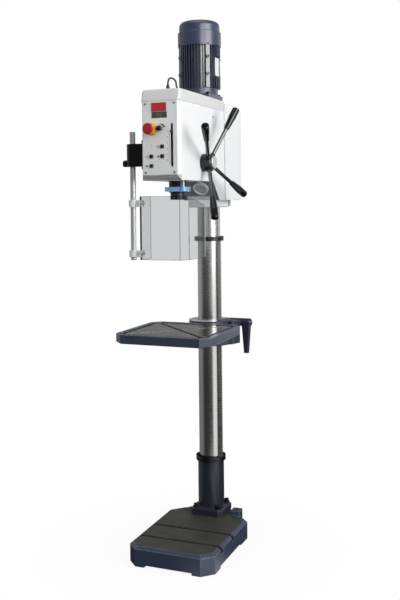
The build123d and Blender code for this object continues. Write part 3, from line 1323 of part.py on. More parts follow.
# Rear cover: closed hood behind the seam, open round the column block
with BuildPart() as rear_cover:
    cover_mid = (SEAM_Y + REAR_END) / 2
    collar_rear = COLLAR_D / 2 + GAP
    with BuildSketch(Plane.XY.offset(NECK_BOTTOM)) as cover_plan:
        with Locations((0, cover_mid)):
            Rectangle(2 * REAR_HALF, REAR_END - SEAM_Y)
        fillet(cover_plan.vertices().group_by(Axis.Y)[-1], REAR_CORNER)
    extrude(amount=REAR_TOP - NECK_BOTTOM)
    cover_top = rear_cover.faces().sort_by(Axis.Z)[-1]
    fillet(cover_top.edges().sort_by(Axis.Y)[1:], REAR_TOP_EDGE)
    with BuildSketch(Plane.XY.offset(NECK_BOTTOM + SHELL_T)) as room_plan:
        with Locations((0, cover_mid - SHELL_T / 2)):
            Rectangle(2 * (REAR_HALF - SHELL_T), REAR_END - SEAM_Y - SHELL_T)
        fillet(room_plan.vertices().group_by(Axis.Y)[-1], REAR_CORNER - SHELL_T)
    extrude(amount=REAR_TOP - REAR_TOP_EDGE / 2 - NECK_BOTTOM - SHELL_T, mode=Mode.SUBTRACT)
    with BuildSketch(Plane.XY.offset(NECK_BOTTOM)):
        with Locations((0, (SEAM_Y + collar_rear) / 2)):
            Rectangle(2 * (REAR_HALF - SHELL_T), collar_rear - SEAM_Y)
    extrude(amount=SHELL_T, mode=Mode.SUBTRACT)
    with BuildSketch(Plane.XY.offset(NECK_BOTTOM)):
        with Locations((MAINS_GLAND_X, MAINS_GLAND_Y)):
            Circle(GLAND_TOP_R)
    extrude(amount=SHELL_T, mode=Mode.SUBTRACT)
save(rear_cover, "rear_cover")

# Front panel with its openings, and its corner screws
panel_mid = (PANEL_LOW + PANEL_HIGH) / 2
button_places = (
    (BUTTON_COLUMNS[1], BUTTON_ROWS[0]), (BUTTON_COLUMNS[0], BUTTON_ROWS[1]),
    (BUTTON_COLUMNS[1], BUTTON_ROWS[1]), (BUTTON_COLUMNS[0], BUTTON_ROWS[2]),
)
screw_span = PANEL_HIGH - PANEL_LOW - 2 * PANEL_SCREW_INSET
with BuildPart() as front_panel:
    with BuildSketch(face_plane(0, PANEL_BACK, 0)):
        with Locations((0, panel_mid)):
            Rectangle(2 * PANEL_HALF, PANEL_HIGH - PANEL_LOW)
        with Locations((0, panel_mid)):
            with GridLocations(2 * PANEL_SCREW_X, screw_span, 2, 2):
                Circle(PANEL_SCREW_R + FIT, mode=Mode.SUBTRACT)
        with Locations((ESTOP_X, ESTOP_Z)):
            Circle(ESTOP_NECK_R + FIT, mode=Mode.SUBTRACT)
        with Locations((KNOB_X, KNOB_Z)):
            Circle(KNOB_STEM_R + FIT, mode=Mode.SUBTRACT)
        with Locations(*button_places):
            RectangleRounded(BUTTON_SIDE + 2 * GAP, BUTTON_SIDE + 2 * GAP, BUTTON_CORNER, mode=Mode.SUBTRACT)
        with Locations((SLOT_X, (SLOT_LOW + SLOT_HIGH) / 2)):
            SlotOverall(SLOT_HIGH - SLOT_LOW, SLOT_W, rotation=90, mode=Mode.SUBTRACT)
    extrude(amount=PANEL_T)
    with BuildSketch(face_plane(DISPLAY_X, FACE_Y, DISPLAY_Z)):
        Rectangle(DISPLAY_W + 2 * FIT, DISPLAY_H + 2 * FIT)
    extrude(amount=-DISPLAY_T, mode=Mode.SUBTRACT)
save(front_panel, "front_panel")

with BuildPart() as panel_screws:
    with BuildSketch(face_plane(0, FACE_Y, panel_mid)):
        with GridLocations(2 * PANEL_SCREW_X, screw_span, 2, 2):
            Circle(PANEL_SCREW_HEAD_R)
    extrude(amount=PANEL_SCREW_HEAD_H)
    with BuildSketch(face_plane(0, FACE_Y, panel_mid)):
        with GridLocations(2 * PANEL_SCREW_X, screw_span, 2, 2):
            Circle(PANEL_SCREW_R)
    extrude(amount=-PANEL_T - PANEL_SCREW_L + GAP)
save(panel_screws, "panel_screws")

with BuildPart() as display:
    with BuildSketch(face_plane(DISPLAY_X, FACE_Y + DISPLAY_T, DISPLAY_Z)):
        Rectangle(DISPLAY_W, DISPLAY_H)
    extrude(amount=DISPLAY_T + GAP)
save(display, "display")

# Emergency stop: fixed yellow base and the mushroom that pushes in
estop_back = FACE_Y - ESTOP_BASE_H - ESTOP_TRAVEL - GAP
with BuildPart() as estop_base:
    with BuildSketch(face_plane(ESTOP_X, FACE_Y, ESTOP_Z)):
        Circle(ESTOP_BASE_R)
    extrude(amount=ESTOP_BASE_H)
    chamfer(faces().sort_by(Axis.Y)[0].edges(), ESTOP_BASE_EDGE)
    with BuildSketch(face_plane(ESTOP_X, FACE_Y, ESTOP_Z)):
        Circle(ESTOP_NECK_R)
    extrude(amount=-ESTOP_DEPTH)
    with BuildSketch(face_plane(ESTOP_X, FACE_Y + ESTOP_DEPTH, ESTOP_Z)):
        Circle(ESTOP_STEM_R + FIT)
    extrude(amount=ESTOP_DEPTH + ESTOP_BASE_H, mode=Mode.SUBTRACT)
save(estop_base, "estop_base")

with BuildPart() as estop_button:
    with BuildSketch(face_plane(ESTOP_X, estop_back, ESTOP_Z)):
        Circle(ESTOP_R)
    extrude(amount=ESTOP_HEAD_H)
    fillet(faces().sort_by(Axis.Y)[0].edges(), ESTOP_ROUND)
    with BuildSketch(face_plane(ESTOP_X, estop_back, ESTOP_Z)):
        Circle(ESTOP_STEM_R)
    extrude(amount=estop_back - FACE_Y - ESTOP_DEPTH / 2)
save(estop_button, "estop_button")

# Speed knob with a pointer groove
with BuildPart() as speed_knob:
    with BuildSketch(face_plane(KNOB_X, FACE_Y - GAP, KNOB_Z)):
        Circle(KNOB_R)
    extrude(amount=KNOB_H)
    chamfer(faces().sort_by(Axis.Y)[0].edges(), KNOB_EDGE)
    with BuildSketch(face_plane(KNOB_X, FACE_Y - GAP - KNOB_H, KNOB_Z)):
        Rectangle(KNOB_GROOVE, KNOB_R, align=(Align.CENTER, Align.MIN))
    extrude(amount=-KNOB_GROOVE, mode=Mode.SUBTRACT)
    with BuildSketch(face_plane(KNOB_X, FACE_Y - GAP, KNOB_Z)):
        Circle(KNOB_STEM_R)
    extrude(amount=-PANEL_T - KNOB_H)
save(speed_knob, "speed_knob")

# Push-buttons, named by their place on the panel
button_names = ("button_upper_right", "button_middle_left", "button_middle_right", "button_lower_left")
for button_name, (button_x, button_z) in zip(button_names, button_places):
    with BuildPart() as push_button:
        with BuildSketch(face_plane(button_x, FACE_Y + BUTTON_DEPTH, button_z)):
            RectangleRounded(BUTTON_SIDE, BUTTON_SIDE, BUTTON_CORNER)
        extrude(amount=BUTTON_DEPTH + BUTTON_PROUD)
        chamfer(faces().sort_by(Axis.Y)[0].edges(), BUTTON_EDGE)
    save(push_button, button_name)

# Work lamp on the sloping face in front of the column
slope_angle = atan2(HEAD_BOTTOM - NECK_BOTTOM, SLOPE_REAR - SLOPE_FRONT)
slope_mid = Vector(0, (SLOPE_FRONT + SLOPE_REAR) / 2, (HEAD_BOTTOM + NECK_BOTTOM) / 2)
lamp_place = slope_mid + Vector(LAMP_X, -LAMP_RISE * cos(slope_angle), LAMP_RISE * sin(slope_angle))
lamp_plane = Plane(lamp_place, x_dir=(1, 0, 0), z_dir=(0, -sin(slope_angle), -cos(slope_angle)))
with BuildPart() as work_lamp:
    with BuildSketch(lamp_plane):
        Circle(LAMP_R)
    extrude(amount=LAMP_H)
    with BuildSketch(lamp_plane.offset(LAMP_H - LAMP_RECESS - LENS_T)):
        Circle(LAMP_LENS_R)
    extrude(amount=LAMP_RECESS + LENS_T, mode=Mode.SUBTRACT)
save(work_lamp, "work_lamp")

with BuildPart() as lamp_lens:
    with BuildSketch(lamp_plane.offset(LAMP_H - LAMP_RECESS - LENS_T)):
        Circle(LAMP_LENS_R - FIT)
    extrude(amount=LENS_T)
save(lamp_lens, "lamp_lens")

# Motor flange with the lower end shield and the pad for the cable
motor_flange_top = MOTOR_BASE + MOTOR_PLATE_T
with BuildPart() as motor_flange:
    with BuildSketch(shaft_plane(MOTOR_Y, MOTOR_BASE)):
        RectangleRounded(2 * MOTOR_PLATE_HALF, 2 * MOTOR_PLATE_HALF, MOTOR_PLATE_CORNER)
    extrude(amount=MOTOR_PLATE_T)
    with BuildSketch(shaft_plane(MOTOR_Y, motor_flange_top)):
        Circle(SHIELD_R)
        with Locations((TERMINAL_X, (TERMINAL_Y - MOTOR_Y) / 2)):
            Rectangle(TERMINAL_W, MOTOR_Y - TERMINAL_Y)
        with GridLocations(MOTOR_BOLT_PITCH, MOTOR_BOLT_PITCH, 2, 2):
            Circle(MOTOR_BOLT_HEAD_R + GAP, mode=Mode.SUBTRACT)
    extrude(amount=SHIELD_TOP - motor_flange_top)
    with BuildSketch(shaft_plane(MOTOR_Y, motor_flange_top)):
        Circle(SHIELD_BORE_R)
    extrude(amount=SHIELD_TOP - motor_flange_top, mode=Mode.SUBTRACT)
    with BuildSketch(shaft_plane(MOTOR_Y, MOTOR_BASE)):
        Circle(MOTOR_BEARING_R + FIT)
        with GridLocations(MOTOR_BOLT_PITCH, MOTOR_BOLT_PITCH, 2, 2):
            Circle(MOTOR_BOLT_R + GAP)
    extrude(amount=MOTOR_PLATE_T, mode=Mode.SUBTRACT)
save(motor_flange, "motor_flange")

# Bolts of the socket's flange, of the collar under the head and of the motor's flange
flange_top = BASE_H + FLANGE_H
with BuildPart() as machine_bolts:
    with BuildSketch(Plane.XY.offset(flange_top)):
        with GridLocations(SOCKET_BOLT_PITCH, SOCKET_BOLT_PITCH, 2, 2):
            Circle(BOLT_HEAD_R)
    extrude(amount=BOLT_HEAD_H)
    with BuildSketch(Plane.XY.offset(flange_top)):
        with GridLocations(SOCKET_BOLT_PITCH, SOCKET_BOLT_PITCH, 2, 2):
            Circle(BOLT_R)
    extrude(amount=-FLANGE_H - BOLT_DEPTH)
    with BuildSketch(Plane.XY.offset(flange_top + BOLT_HEAD_H)):
        with GridLocations(SOCKET_BOLT_PITCH, SOCKET_BOLT_PITCH, 2, 2):
            RegularPolygon(HEX_R, 6)
    extrude(amount=-HEX_DEPTH, mode=Mode.SUBTRACT)
    with BuildSketch(Plane.XY.offset(collar_head_z)):
        with PolarLocations(COLLAR_SCREW_PCD / 2, 4, start_angle=45):
            Circle(COLLAR_SCREW_HEAD_R)
    extrude(amount=-COLLAR_SCREW_HEAD_H)
    with BuildSketch(Plane.XY.offset(collar_head_z)):
        with PolarLocations(COLLAR_SCREW_PCD / 2, 4, start_angle=45):
            Circle(COLLAR_SCREW_R)
    extrude(amount=NECK_BOTTOM - collar_head_z + COLLAR_SCREW_L - GAP)
    with BuildSketch(shaft_plane(MOTOR_Y, motor_flange_top)):
        with GridLocations(MOTOR_BOLT_PITCH, MOTOR_BOLT_PITCH, 2, 2):
            RegularPolygon(MOTOR_BOLT_HEAD_R, 6)
    extrude(amount=MOTOR_BOLT_HEAD_H)
    with BuildSketch(shaft_plane(MOTOR_Y, motor_flange_top)):
        with GridLocations(MOTOR_BOLT_PITCH, MOTOR_BOLT_PITCH, 2, 2):
            Circle(MOTOR_BOLT_R)
    extrude(amount=-MOTOR_PLATE_T - MOTOR_BOLT_DEPTH)
save(machine_bolts, "machine_bolts")

# Finned motor housing with four bossed ribs and a flat for the rating plate
with BuildPart() as motor_housing:
    with BuildSketch(shaft_plane(MOTOR_Y, SHIELD_TOP)):
        Circle(MOTOR_BODY_R)
        with PolarLocations(0, FINS):
            Rectangle(FIN_R, FIN_T, align=(Align.MIN, Align.CENTER))
        with PolarLocations(0, 4, start_angle=45):
            Rectangle(FIN_R, RIB_W, align=(Align.MIN, Align.CENTER))
    extrude(amount=MOTOR_TOP - SHIELD_TOP)
    for boss_z in RIB_BOSS_Z:
        for boss_angle in (45, 135, 225, 315):
            way = Vector(cos(radians(boss_angle)), sin(radians(boss_angle)), 0)
            with BuildSketch(Plane(Vector(0, MOTOR_Y, boss_z) + way * MOTOR_BODY_R, z_dir=way)):
                Circle(RIB_BOSS_R)
            extrude(amount=FIN_R - MOTOR_BODY_R + RIB_BOSS_H)
    with Locations((PLATE_FLAT_X, MOTOR_Y, (PLATE_FLAT_LOW + PLATE_FLAT_HIGH) / 2)):
        Box(FIN_R, 2 * FIN_R, PLATE_FLAT_HIGH - PLATE_FLAT_LOW,
            align=(Align.MIN, Align.CENTER, Align.CENTER), mode=Mode.SUBTRACT)
    with BuildSketch(shaft_plane(MOTOR_Y, SHIELD_TOP)):
        Circle(MOTOR_BORE_R)
    extrude(amount=MOTOR_TOP - MOTOR_WALL - SHIELD_TOP, mode=Mode.SUBTRACT)
    with BuildSketch(shaft_plane(MOTOR_Y, MOTOR_TOP)):
        Circle(MOTOR_BEARING_R + FIT)
    extrude(amount=-MOTOR_WALL, mode=Mode.SUBTRACT)
save(motor_housing, "motor_housing")

# Bearings: two on each layshaft, two on the drive sleeve and two on the motor's shaft
with BuildPart() as shaft_bearings:
    for ring_z in (CASE_FLOOR + CASE_FLOOR_T - BEARING_H, CASE_TOP):
        with BuildSketch(Plane.XY.offset(ring_z)):
            with Locations((0, FIRST_Y), (0, SECOND_Y)):
                Circle(BEARING_R)
                Circle(SHAFT_R + FIT, mode=Mode.SUBTRACT)
            with Locations((0, SPINDLE_Y)):
                Circle(SLEEVE_BEARING_R)
                Circle(SLEEVE_R + FIT, mode=Mode.SUBTRACT)
        extrude(amount=BEARING_H)
    for ring_z in (MOTOR_BASE, MOTOR_TOP - MOTOR_WALL):
        with BuildSketch(shaft_plane(MOTOR_Y, ring_z)):
            Circle(MOTOR_BEARING_R)
            Circle(ROTOR_SHAFT_R + FIT, mode=Mode.SUBTRACT)
        extrude(amount=MOTOR_BEARING_H)
save(shaft_bearings, "shaft_bearings")

with BuildPart() as stator:
    with BuildSketch(shaft_plane(MOTOR_Y, ROTOR_BOTTOM)):
        Circle(MOTOR_BORE_R - FIT)
        Circle(ROTOR_R + AIR_GAP, mode=Mode.SUBTRACT)
    extrude(amount=ROTOR_TOP - ROTOR_BOTTOM)
save(stator, "stator")

# Rotor: shaft, core and the pinion at the shaft's lower end
fan_top = FAN_Z + FAN_H
with BuildPart() as motor_rotor:
    with BuildSketch(shaft_plane(MOTOR_Y, GEAR_LEVELS[2] - GAP)):
        Circle(ROTOR_SHAFT_R)
    extrude(amount=fan_top - GEAR_LEVELS[2] + GAP)
    with BuildSketch(shaft_plane(MOTOR_Y, GEAR_LEVELS[2])):
        with BuildLine():
            Polyline(*gear_points(PINION_TEETH, MODULE, -90), close=True)
        make_face()
    extrude(amount=GEAR_FACE)
    with BuildSketch(shaft_plane(MOTOR_Y, ROTOR_BOTTOM)):
        Circle(ROTOR_R)
    extrude(amount=ROTOR_TOP - ROTOR_BOTTOM)
save(motor_rotor, "motor_rotor")

with BuildPart() as motor_fan:
    with BuildSketch(shaft_plane(MOTOR_Y, FAN_Z)):
        Circle(FAN_HUB_R)
        with PolarLocations(0, FAN_BLADES):
            Rectangle(FAN_R, FAN_BLADE_T, align=(Align.MIN, Align.CENTER))
        Circle(ROTOR_SHAFT_R + FIT, mode=Mode.SUBTRACT)
    extrude(amount=FAN_H)
save(motor_fan, "motor_fan")

# Fan cover: skirt and stepped-in dome over the fan, with air holes in its top
with BuildPart() as fan_cover:
    with BuildSketch(shaft_plane(MOTOR_Y, MOTOR_TOP - FAN_COVER_SKIRT)):
        Circle(FAN_COVER_R)
    extrude(amount=FAN_DOME_Z - MOTOR_TOP + FAN_COVER_SKIRT)
    chamfer(fan_cover.faces().sort_by(Axis.Z)[-1].edges(), FAN_STEP_EDGE)
    with BuildSketch(shaft_plane(MOTOR_Y, FAN_DOME_Z)):
        Circle(FAN_DOME_R)
    extrude(amount=FAN_COVER_TOP - FAN_DOME_Z)
    fillet(fan_cover.faces().sort_by(Axis.Z)[-1].edges(), FAN_DOME_EDGE)
    with BuildSketch(shaft_plane(MOTOR_Y, MOTOR_TOP - FAN_COVER_SKIRT)):
        Circle(FAN_COVER_R - FAN_COVER_T)
    extrude(amount=FAN_DOME_Z - FAN_COVER_T - MOTOR_TOP + FAN_COVER_SKIRT, mode=Mode.SUBTRACT)
    with BuildSketch(shaft_plane(MOTOR_Y, MOTOR_TOP)):
        Circle(FAN_DOME_R - FAN_COVER_T)
    extrude(amount=FAN_COVER_TOP - FAN_DOME_EDGE - MOTOR_TOP, mode=Mode.SUBTRACT)
    with BuildSketch(shaft_plane(MOTOR_Y, FAN_COVER_TOP - FAN_DOME_EDGE)):
        Circle(FAN_DOME_R - FAN_DOME_EDGE)
    extrude(amount=FAN_DOME_EDGE - FAN_COVER_T, mode=Mode.SUBTRACT)
    with BuildSketch(shaft_plane(MOTOR_Y, FAN_COVER_TOP)):
        for ring_r in FAN_HOLE_RINGS:
            with PolarLocations(ring_r, int(2 * pi * ring_r / FAN_HOLE_STEP)):
                Circle(FAN_HOLE_R)
    extrude(amount=-FAN_COVER_T, mode=Mode.SUBTRACT)
save(fan_cover, "fan_cover")

# Cable glands: on the lid, on the motor's pad and under the rear cover
with BuildPart() as cable_glands:
    with BuildSketch(Plane((GLAND_X, GLAND_Y, LID_TOP))):
        RegularPolygon(GLAND_NUT_R, 6)
    extrude(amount=GLAND_NUT_H)
    with BuildSketch(Plane((GLAND_X, GLAND_Y, LID_TOP + GLAND_NUT_H))):
        Circle(GLAND_BODY_R)
    with BuildSketch(Plane((GLAND_X, GLAND_Y, LID_TOP + GLAND_H))):
        Circle(GLAND_TOP_R)
    loft()
    with BuildSketch(face_plane(TERMINAL_X, TERMINAL_Y, TERMINAL_Z)):
        RegularPolygon(GLAND_NUT_R, 6)
    extrude(amount=GLAND_NUT_H)
    with BuildSketch(face_plane(TERMINAL_X, TERMINAL_Y - GLAND_NUT_H, TERMINAL_Z)):
        Circle(GLAND_BODY_R)
    with BuildSketch(face_plane(TERMINAL_X, TERMINAL_Y - TERMINAL_GLAND_L, TERMINAL_Z)):
        Circle(GLAND_TOP_R)
    loft()
    with BuildSketch(Plane((MAINS_GLAND_X, MAINS_GLAND_Y, NECK_BOTTOM), z_dir=(0, 0, -1))):
        RegularPolygon(GLAND_NUT_R, 6)
    extrude(amount=GLAND_NUT_H)
    with BuildSketch(Plane((MAINS_GLAND_X, MAINS_GLAND_Y, NECK_BOTTOM - GLAND_NUT_H), z_dir=(0, 0, -1))):
        Circle(GLAND_BODY_R)
        Circle(CABLE_R, mode=Mode.SUBTRACT)
    extrude(amount=MAINS_GLAND_L - GLAND_NUT_H)
save(cable_glands, "cable_glands")

# Motor cable: up from the lid, over and down to the motor
cable_points = [
    (GLAND_X, GLAND_Y, LID_TOP + GLAND_H),
    (GLAND_X, GLAND_Y, CABLE_CREST),
    (TERMINAL_X, CABLE_DROP_Y, CABLE_CREST),
    (TERMINAL_X, CABLE_DROP_Y, TERMINAL_Z),
    (TERMINAL_X, TERMINAL_Y - TERMINAL_GLAND_L, TERMINAL_Z),
]
cable_runs = [Vector(*far) - Vector(*near) for near, far in zip(cable_points, cable_points[1:])]
cable_bends = [
    CABLE_BEND_SHARE * min(near.length, far.length) / tan(radians(near.get_angle(far)) / 2)
    for near, far in zip(cable_runs, cable_runs[1:])
]
with BuildPart() as motor_cable:
    with BuildLine() as cable_path:
        FilletPolyline(*cable_points, radius=cable_bends)
    with BuildSketch(Plane(cable_points[0], z_dir=(0, 0, 1))):
        Circle(CABLE_R)
    sweep(path=cable_path.wire())
cable_length = cable_path.wire().length
print("motor cable bends", [round(bend, 1) for bend in cable_bends], "length", round(cable_length, 1))
print("motor cable volume", round(motor_cable.part.volume), "of", round(pi * CABLE_R ** 2 * cable_length))
save(motor_cable, "motor_cable")

# Guard holder on the head's left side
with BuildPart() as guard_holder:
    plate_mid = (HOLDER_PLATE_LOW + HOLDER_PLATE_HIGH) / 2
    with Locations((-SHELL_HALF, GUARD_ROD_Y, plate_mid)):
        Box(HOLDER_PLATE_T, 2 * HOLDER_PLATE_HALF, HOLDER_PLATE_HIGH - HOLDER_PLATE_LOW,
            align=(Align.MAX, Align.CENTER, Align.CENTER))
    with BuildSketch(Plane((0, GUARD_ROD_Y, HOLDER_LOW))):
        with Locations((GUARD_ROD_X, 0)):
            Circle(HOLDER_HALF)
        with Locations((HOLDER_X, 0)):
            Rectangle(HOLDER_X - GUARD_ROD_X, 2 * HOLDER_HALF, align=(Align.MAX, Align.CENTER))
    extrude(amount=HOLDER_HIGH - HOLDER_LOW)
    with BuildSketch(Plane((GUARD_ROD_X, GUARD_ROD_Y, HOLDER_LOW))):
        Circle(GUARD_ROD_R + FIT)
    extrude(amount=HOLDER_HIGH - HOLDER_LOW, mode=Mode.SUBTRACT)
    with BuildSketch(cross_plane(GUARD_ROD_X, GUARD_ROD_Y, CLAMP_KNOB_Z)):
        Circle(CLAMP_SCREW_R + FIT)
    extrude(amount=-HOLDER_HALF, mode=Mode.SUBTRACT)
save(guard_holder, "guard_holder")

with BuildPart() as guard_rod:
    with BuildSketch(Plane((GUARD_ROD_X, GUARD_ROD_Y, GUARD_ROD_LOW))):
        Circle(GUARD_ROD_R)
    extrude(amount=GUARD_ROD_HIGH - GUARD_ROD_LOW)
    chamfer(edges().filter_by(GeomType.CIRCLE), GUARD_ROD_EDGE)
save(guard_rod, "guard_rod")

# Clamp knob whose screw holds the guard's rod
knob_x = GUARD_ROD_X - HOLDER_HALF - GAP
with BuildPart() as guard_knob:
    with BuildSketch(cross_plane(knob_x, GUARD_ROD_Y, CLAMP_KNOB_Z)):
        Circle(CLAMP_KNOB_R)
    extrude(amount=-CLAMP_KNOB_L)
    fillet(faces().sort_by(Axis.X)[0].edges(), CLAMP_KNOB_EDGE)
    with BuildSketch(cross_plane(knob_x, GUARD_ROD_Y, CLAMP_KNOB_Z)):
        Circle(CLAMP_SCREW_R)
    extrude(amount=HOLDER_HALF - GUARD_ROD_R)
save(guard_knob, "guard_knob")

# Clear bent shield: one sheet with a short left side, a face, a bend and a long right side
shield_line = [
    (SHIELD_LEFT, SHIELD_LEFT_END),
    (SHIELD_LEFT, SHIELD_FACE),
    (SHIELD_BEND_X, SHIELD_FACE),
    (SHIELD_RIGHT, SHIELD_BEND_Y),
    (SHIELD_RIGHT, SHIELD_RIGHT_END),
]
with BuildPart() as guard_shield:
    with BuildSketch(Plane.XY.offset(SHIELD_LOW)):
        with BuildLine():
            sheet = Polyline(*shield_line)
            offset(sheet, amount=SHIELD_T, side=Side.LEFT, kind=Kind.INTERSECTION)
        make_face()
    extrude(amount=SHIELD_HIGH - SHIELD_LOW)
    with BuildSketch(Plane.YZ):
        with BuildLine():
            Polyline(
                (SHIELD_BEND_Y, SHIELD_HIGH), (SHIELD_RIGHT_END, SHIELD_HIGH - SHIELD_SLOPE),
                (SHIELD_RIGHT_END, SHIELD_HIGH), close=True,
            )
        make_face()
    extrude(amount=SHIELD_RIGHT + SHIELD_T, mode=Mode.SUBTRACT)
save(guard_shield, "guard_shield")

# Brackets that swing on the rod and carry the shield
pad_x = SHIELD_LEFT - BRACKET_PAD_T
with BuildPart() as guard_brackets:
    for ring_z in BRACKET_RING_Z:
        with BuildSketch(Plane((GUARD_ROD_X, GUARD_ROD_Y, ring_z))):
            Circle(BRACKET_RING_R)
            Rectangle(pad_x - GUARD_ROD_X, BRACKET_ARM_W, align=(Align.MIN, Align.CENTER))
            with Locations((pad_x - GUARD_ROD_X, 0)):
                Rectangle(BRACKET_PAD_T, BRACKET_PAD_L, align=(Align.MIN, Align.CENTER))
            Circle(GUARD_ROD_R + FIT, mode=Mode.SUBTRACT)
        extrude(amount=BRACKET_RING_H)
save(guard_brackets, "guard_brackets")
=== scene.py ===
import logging
import math
from dataclasses import dataclass, replace
from enum import Enum
from functools import partial, reduce
from typing import Any, Iterable, Sequence

import bmesh
import bpy
from mathutils import Matrix, Vector


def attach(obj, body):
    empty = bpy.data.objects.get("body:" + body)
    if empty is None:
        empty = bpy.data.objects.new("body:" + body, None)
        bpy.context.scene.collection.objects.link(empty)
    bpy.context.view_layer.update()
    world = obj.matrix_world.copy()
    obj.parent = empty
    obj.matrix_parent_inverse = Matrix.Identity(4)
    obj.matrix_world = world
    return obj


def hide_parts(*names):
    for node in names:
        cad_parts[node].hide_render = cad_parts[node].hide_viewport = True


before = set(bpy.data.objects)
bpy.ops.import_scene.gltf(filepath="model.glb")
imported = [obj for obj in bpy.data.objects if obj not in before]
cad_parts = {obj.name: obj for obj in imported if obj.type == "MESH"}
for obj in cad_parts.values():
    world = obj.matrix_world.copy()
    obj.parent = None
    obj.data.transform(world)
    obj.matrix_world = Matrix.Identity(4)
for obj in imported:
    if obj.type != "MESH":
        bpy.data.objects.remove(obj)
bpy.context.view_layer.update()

LOG = logging.getLogger("drill_press")
MM = 0.001
X_AXIS = Vector((1, 0, 0))
Y_AXIS = Vector((0, 1, 0))
Z_AXIS = Vector((0, 0, 1))
BLACK = "#000000"
WHITE = "#ffffff"
Point = tuple[float, float]
Points = tuple[Point, ...]
Spot = tuple[float, float, float]
Socket = bpy.types.NodeSocket
Inputs = dict[str | int, Any]
# Span in which most values of a noise lie.
NOISE_SPAN = (0.3, 0.7)
# Cosines between true and rounded normal, from a flat face to a full edge.
WORN_AND_LIT_EDGE = (0.99, 0.86)
DARK_REFRACTION_EDGE = (0.99, 0.85)
# How deep small pieces sink into what carries them, so that no gap shows.
SUNK = 0.2


class Body(Enum):
    """Moving groups that a piece can ride on."""

    STAND = "stand"
    QUILL = "quill"
    FEED = "feed"
    CLAMP = "clamp"
    GUARD = "guard"
    GUARD_SCREW = "guard_screw"
    ESTOP = "estop"
    SPEED = "speed"


class Cut(Enum):
    """Way in which a tool left its lines, as how fast the pattern changes along X, Y and Z."""

    AROUND_Z = (0.02, 0.02, 1.0)
    AROUND_X = (1.0, 0.02, 0.02)
    ALONG_X = (0.03, 1.0, 1.0)
    ALONG_Y = (1.0, 0.02, 1.0)
    ALONG_Z = (1.0, 1.0, 0.02)


def linear(code: str, share: float = 1.0) -> tuple[float, float, float, float]:
    """Turns an sRGB colour to linear light.

    Args:
        code: colour as #rrggbb.
        share: what its light is multiplied by.

    Returns:
        Red, green, blue and full opacity.
    """
    parts = [int(code[i:i + 2], 16) / 255 for i in (1, 3, 5)]
    light = [p / 12.92 if p <= 0.04045 else ((p + 0.055) / 1.055) ** 2.4 for p in parts]
    return (light[0] * share, light[1] * share, light[2] * share, 1.0)


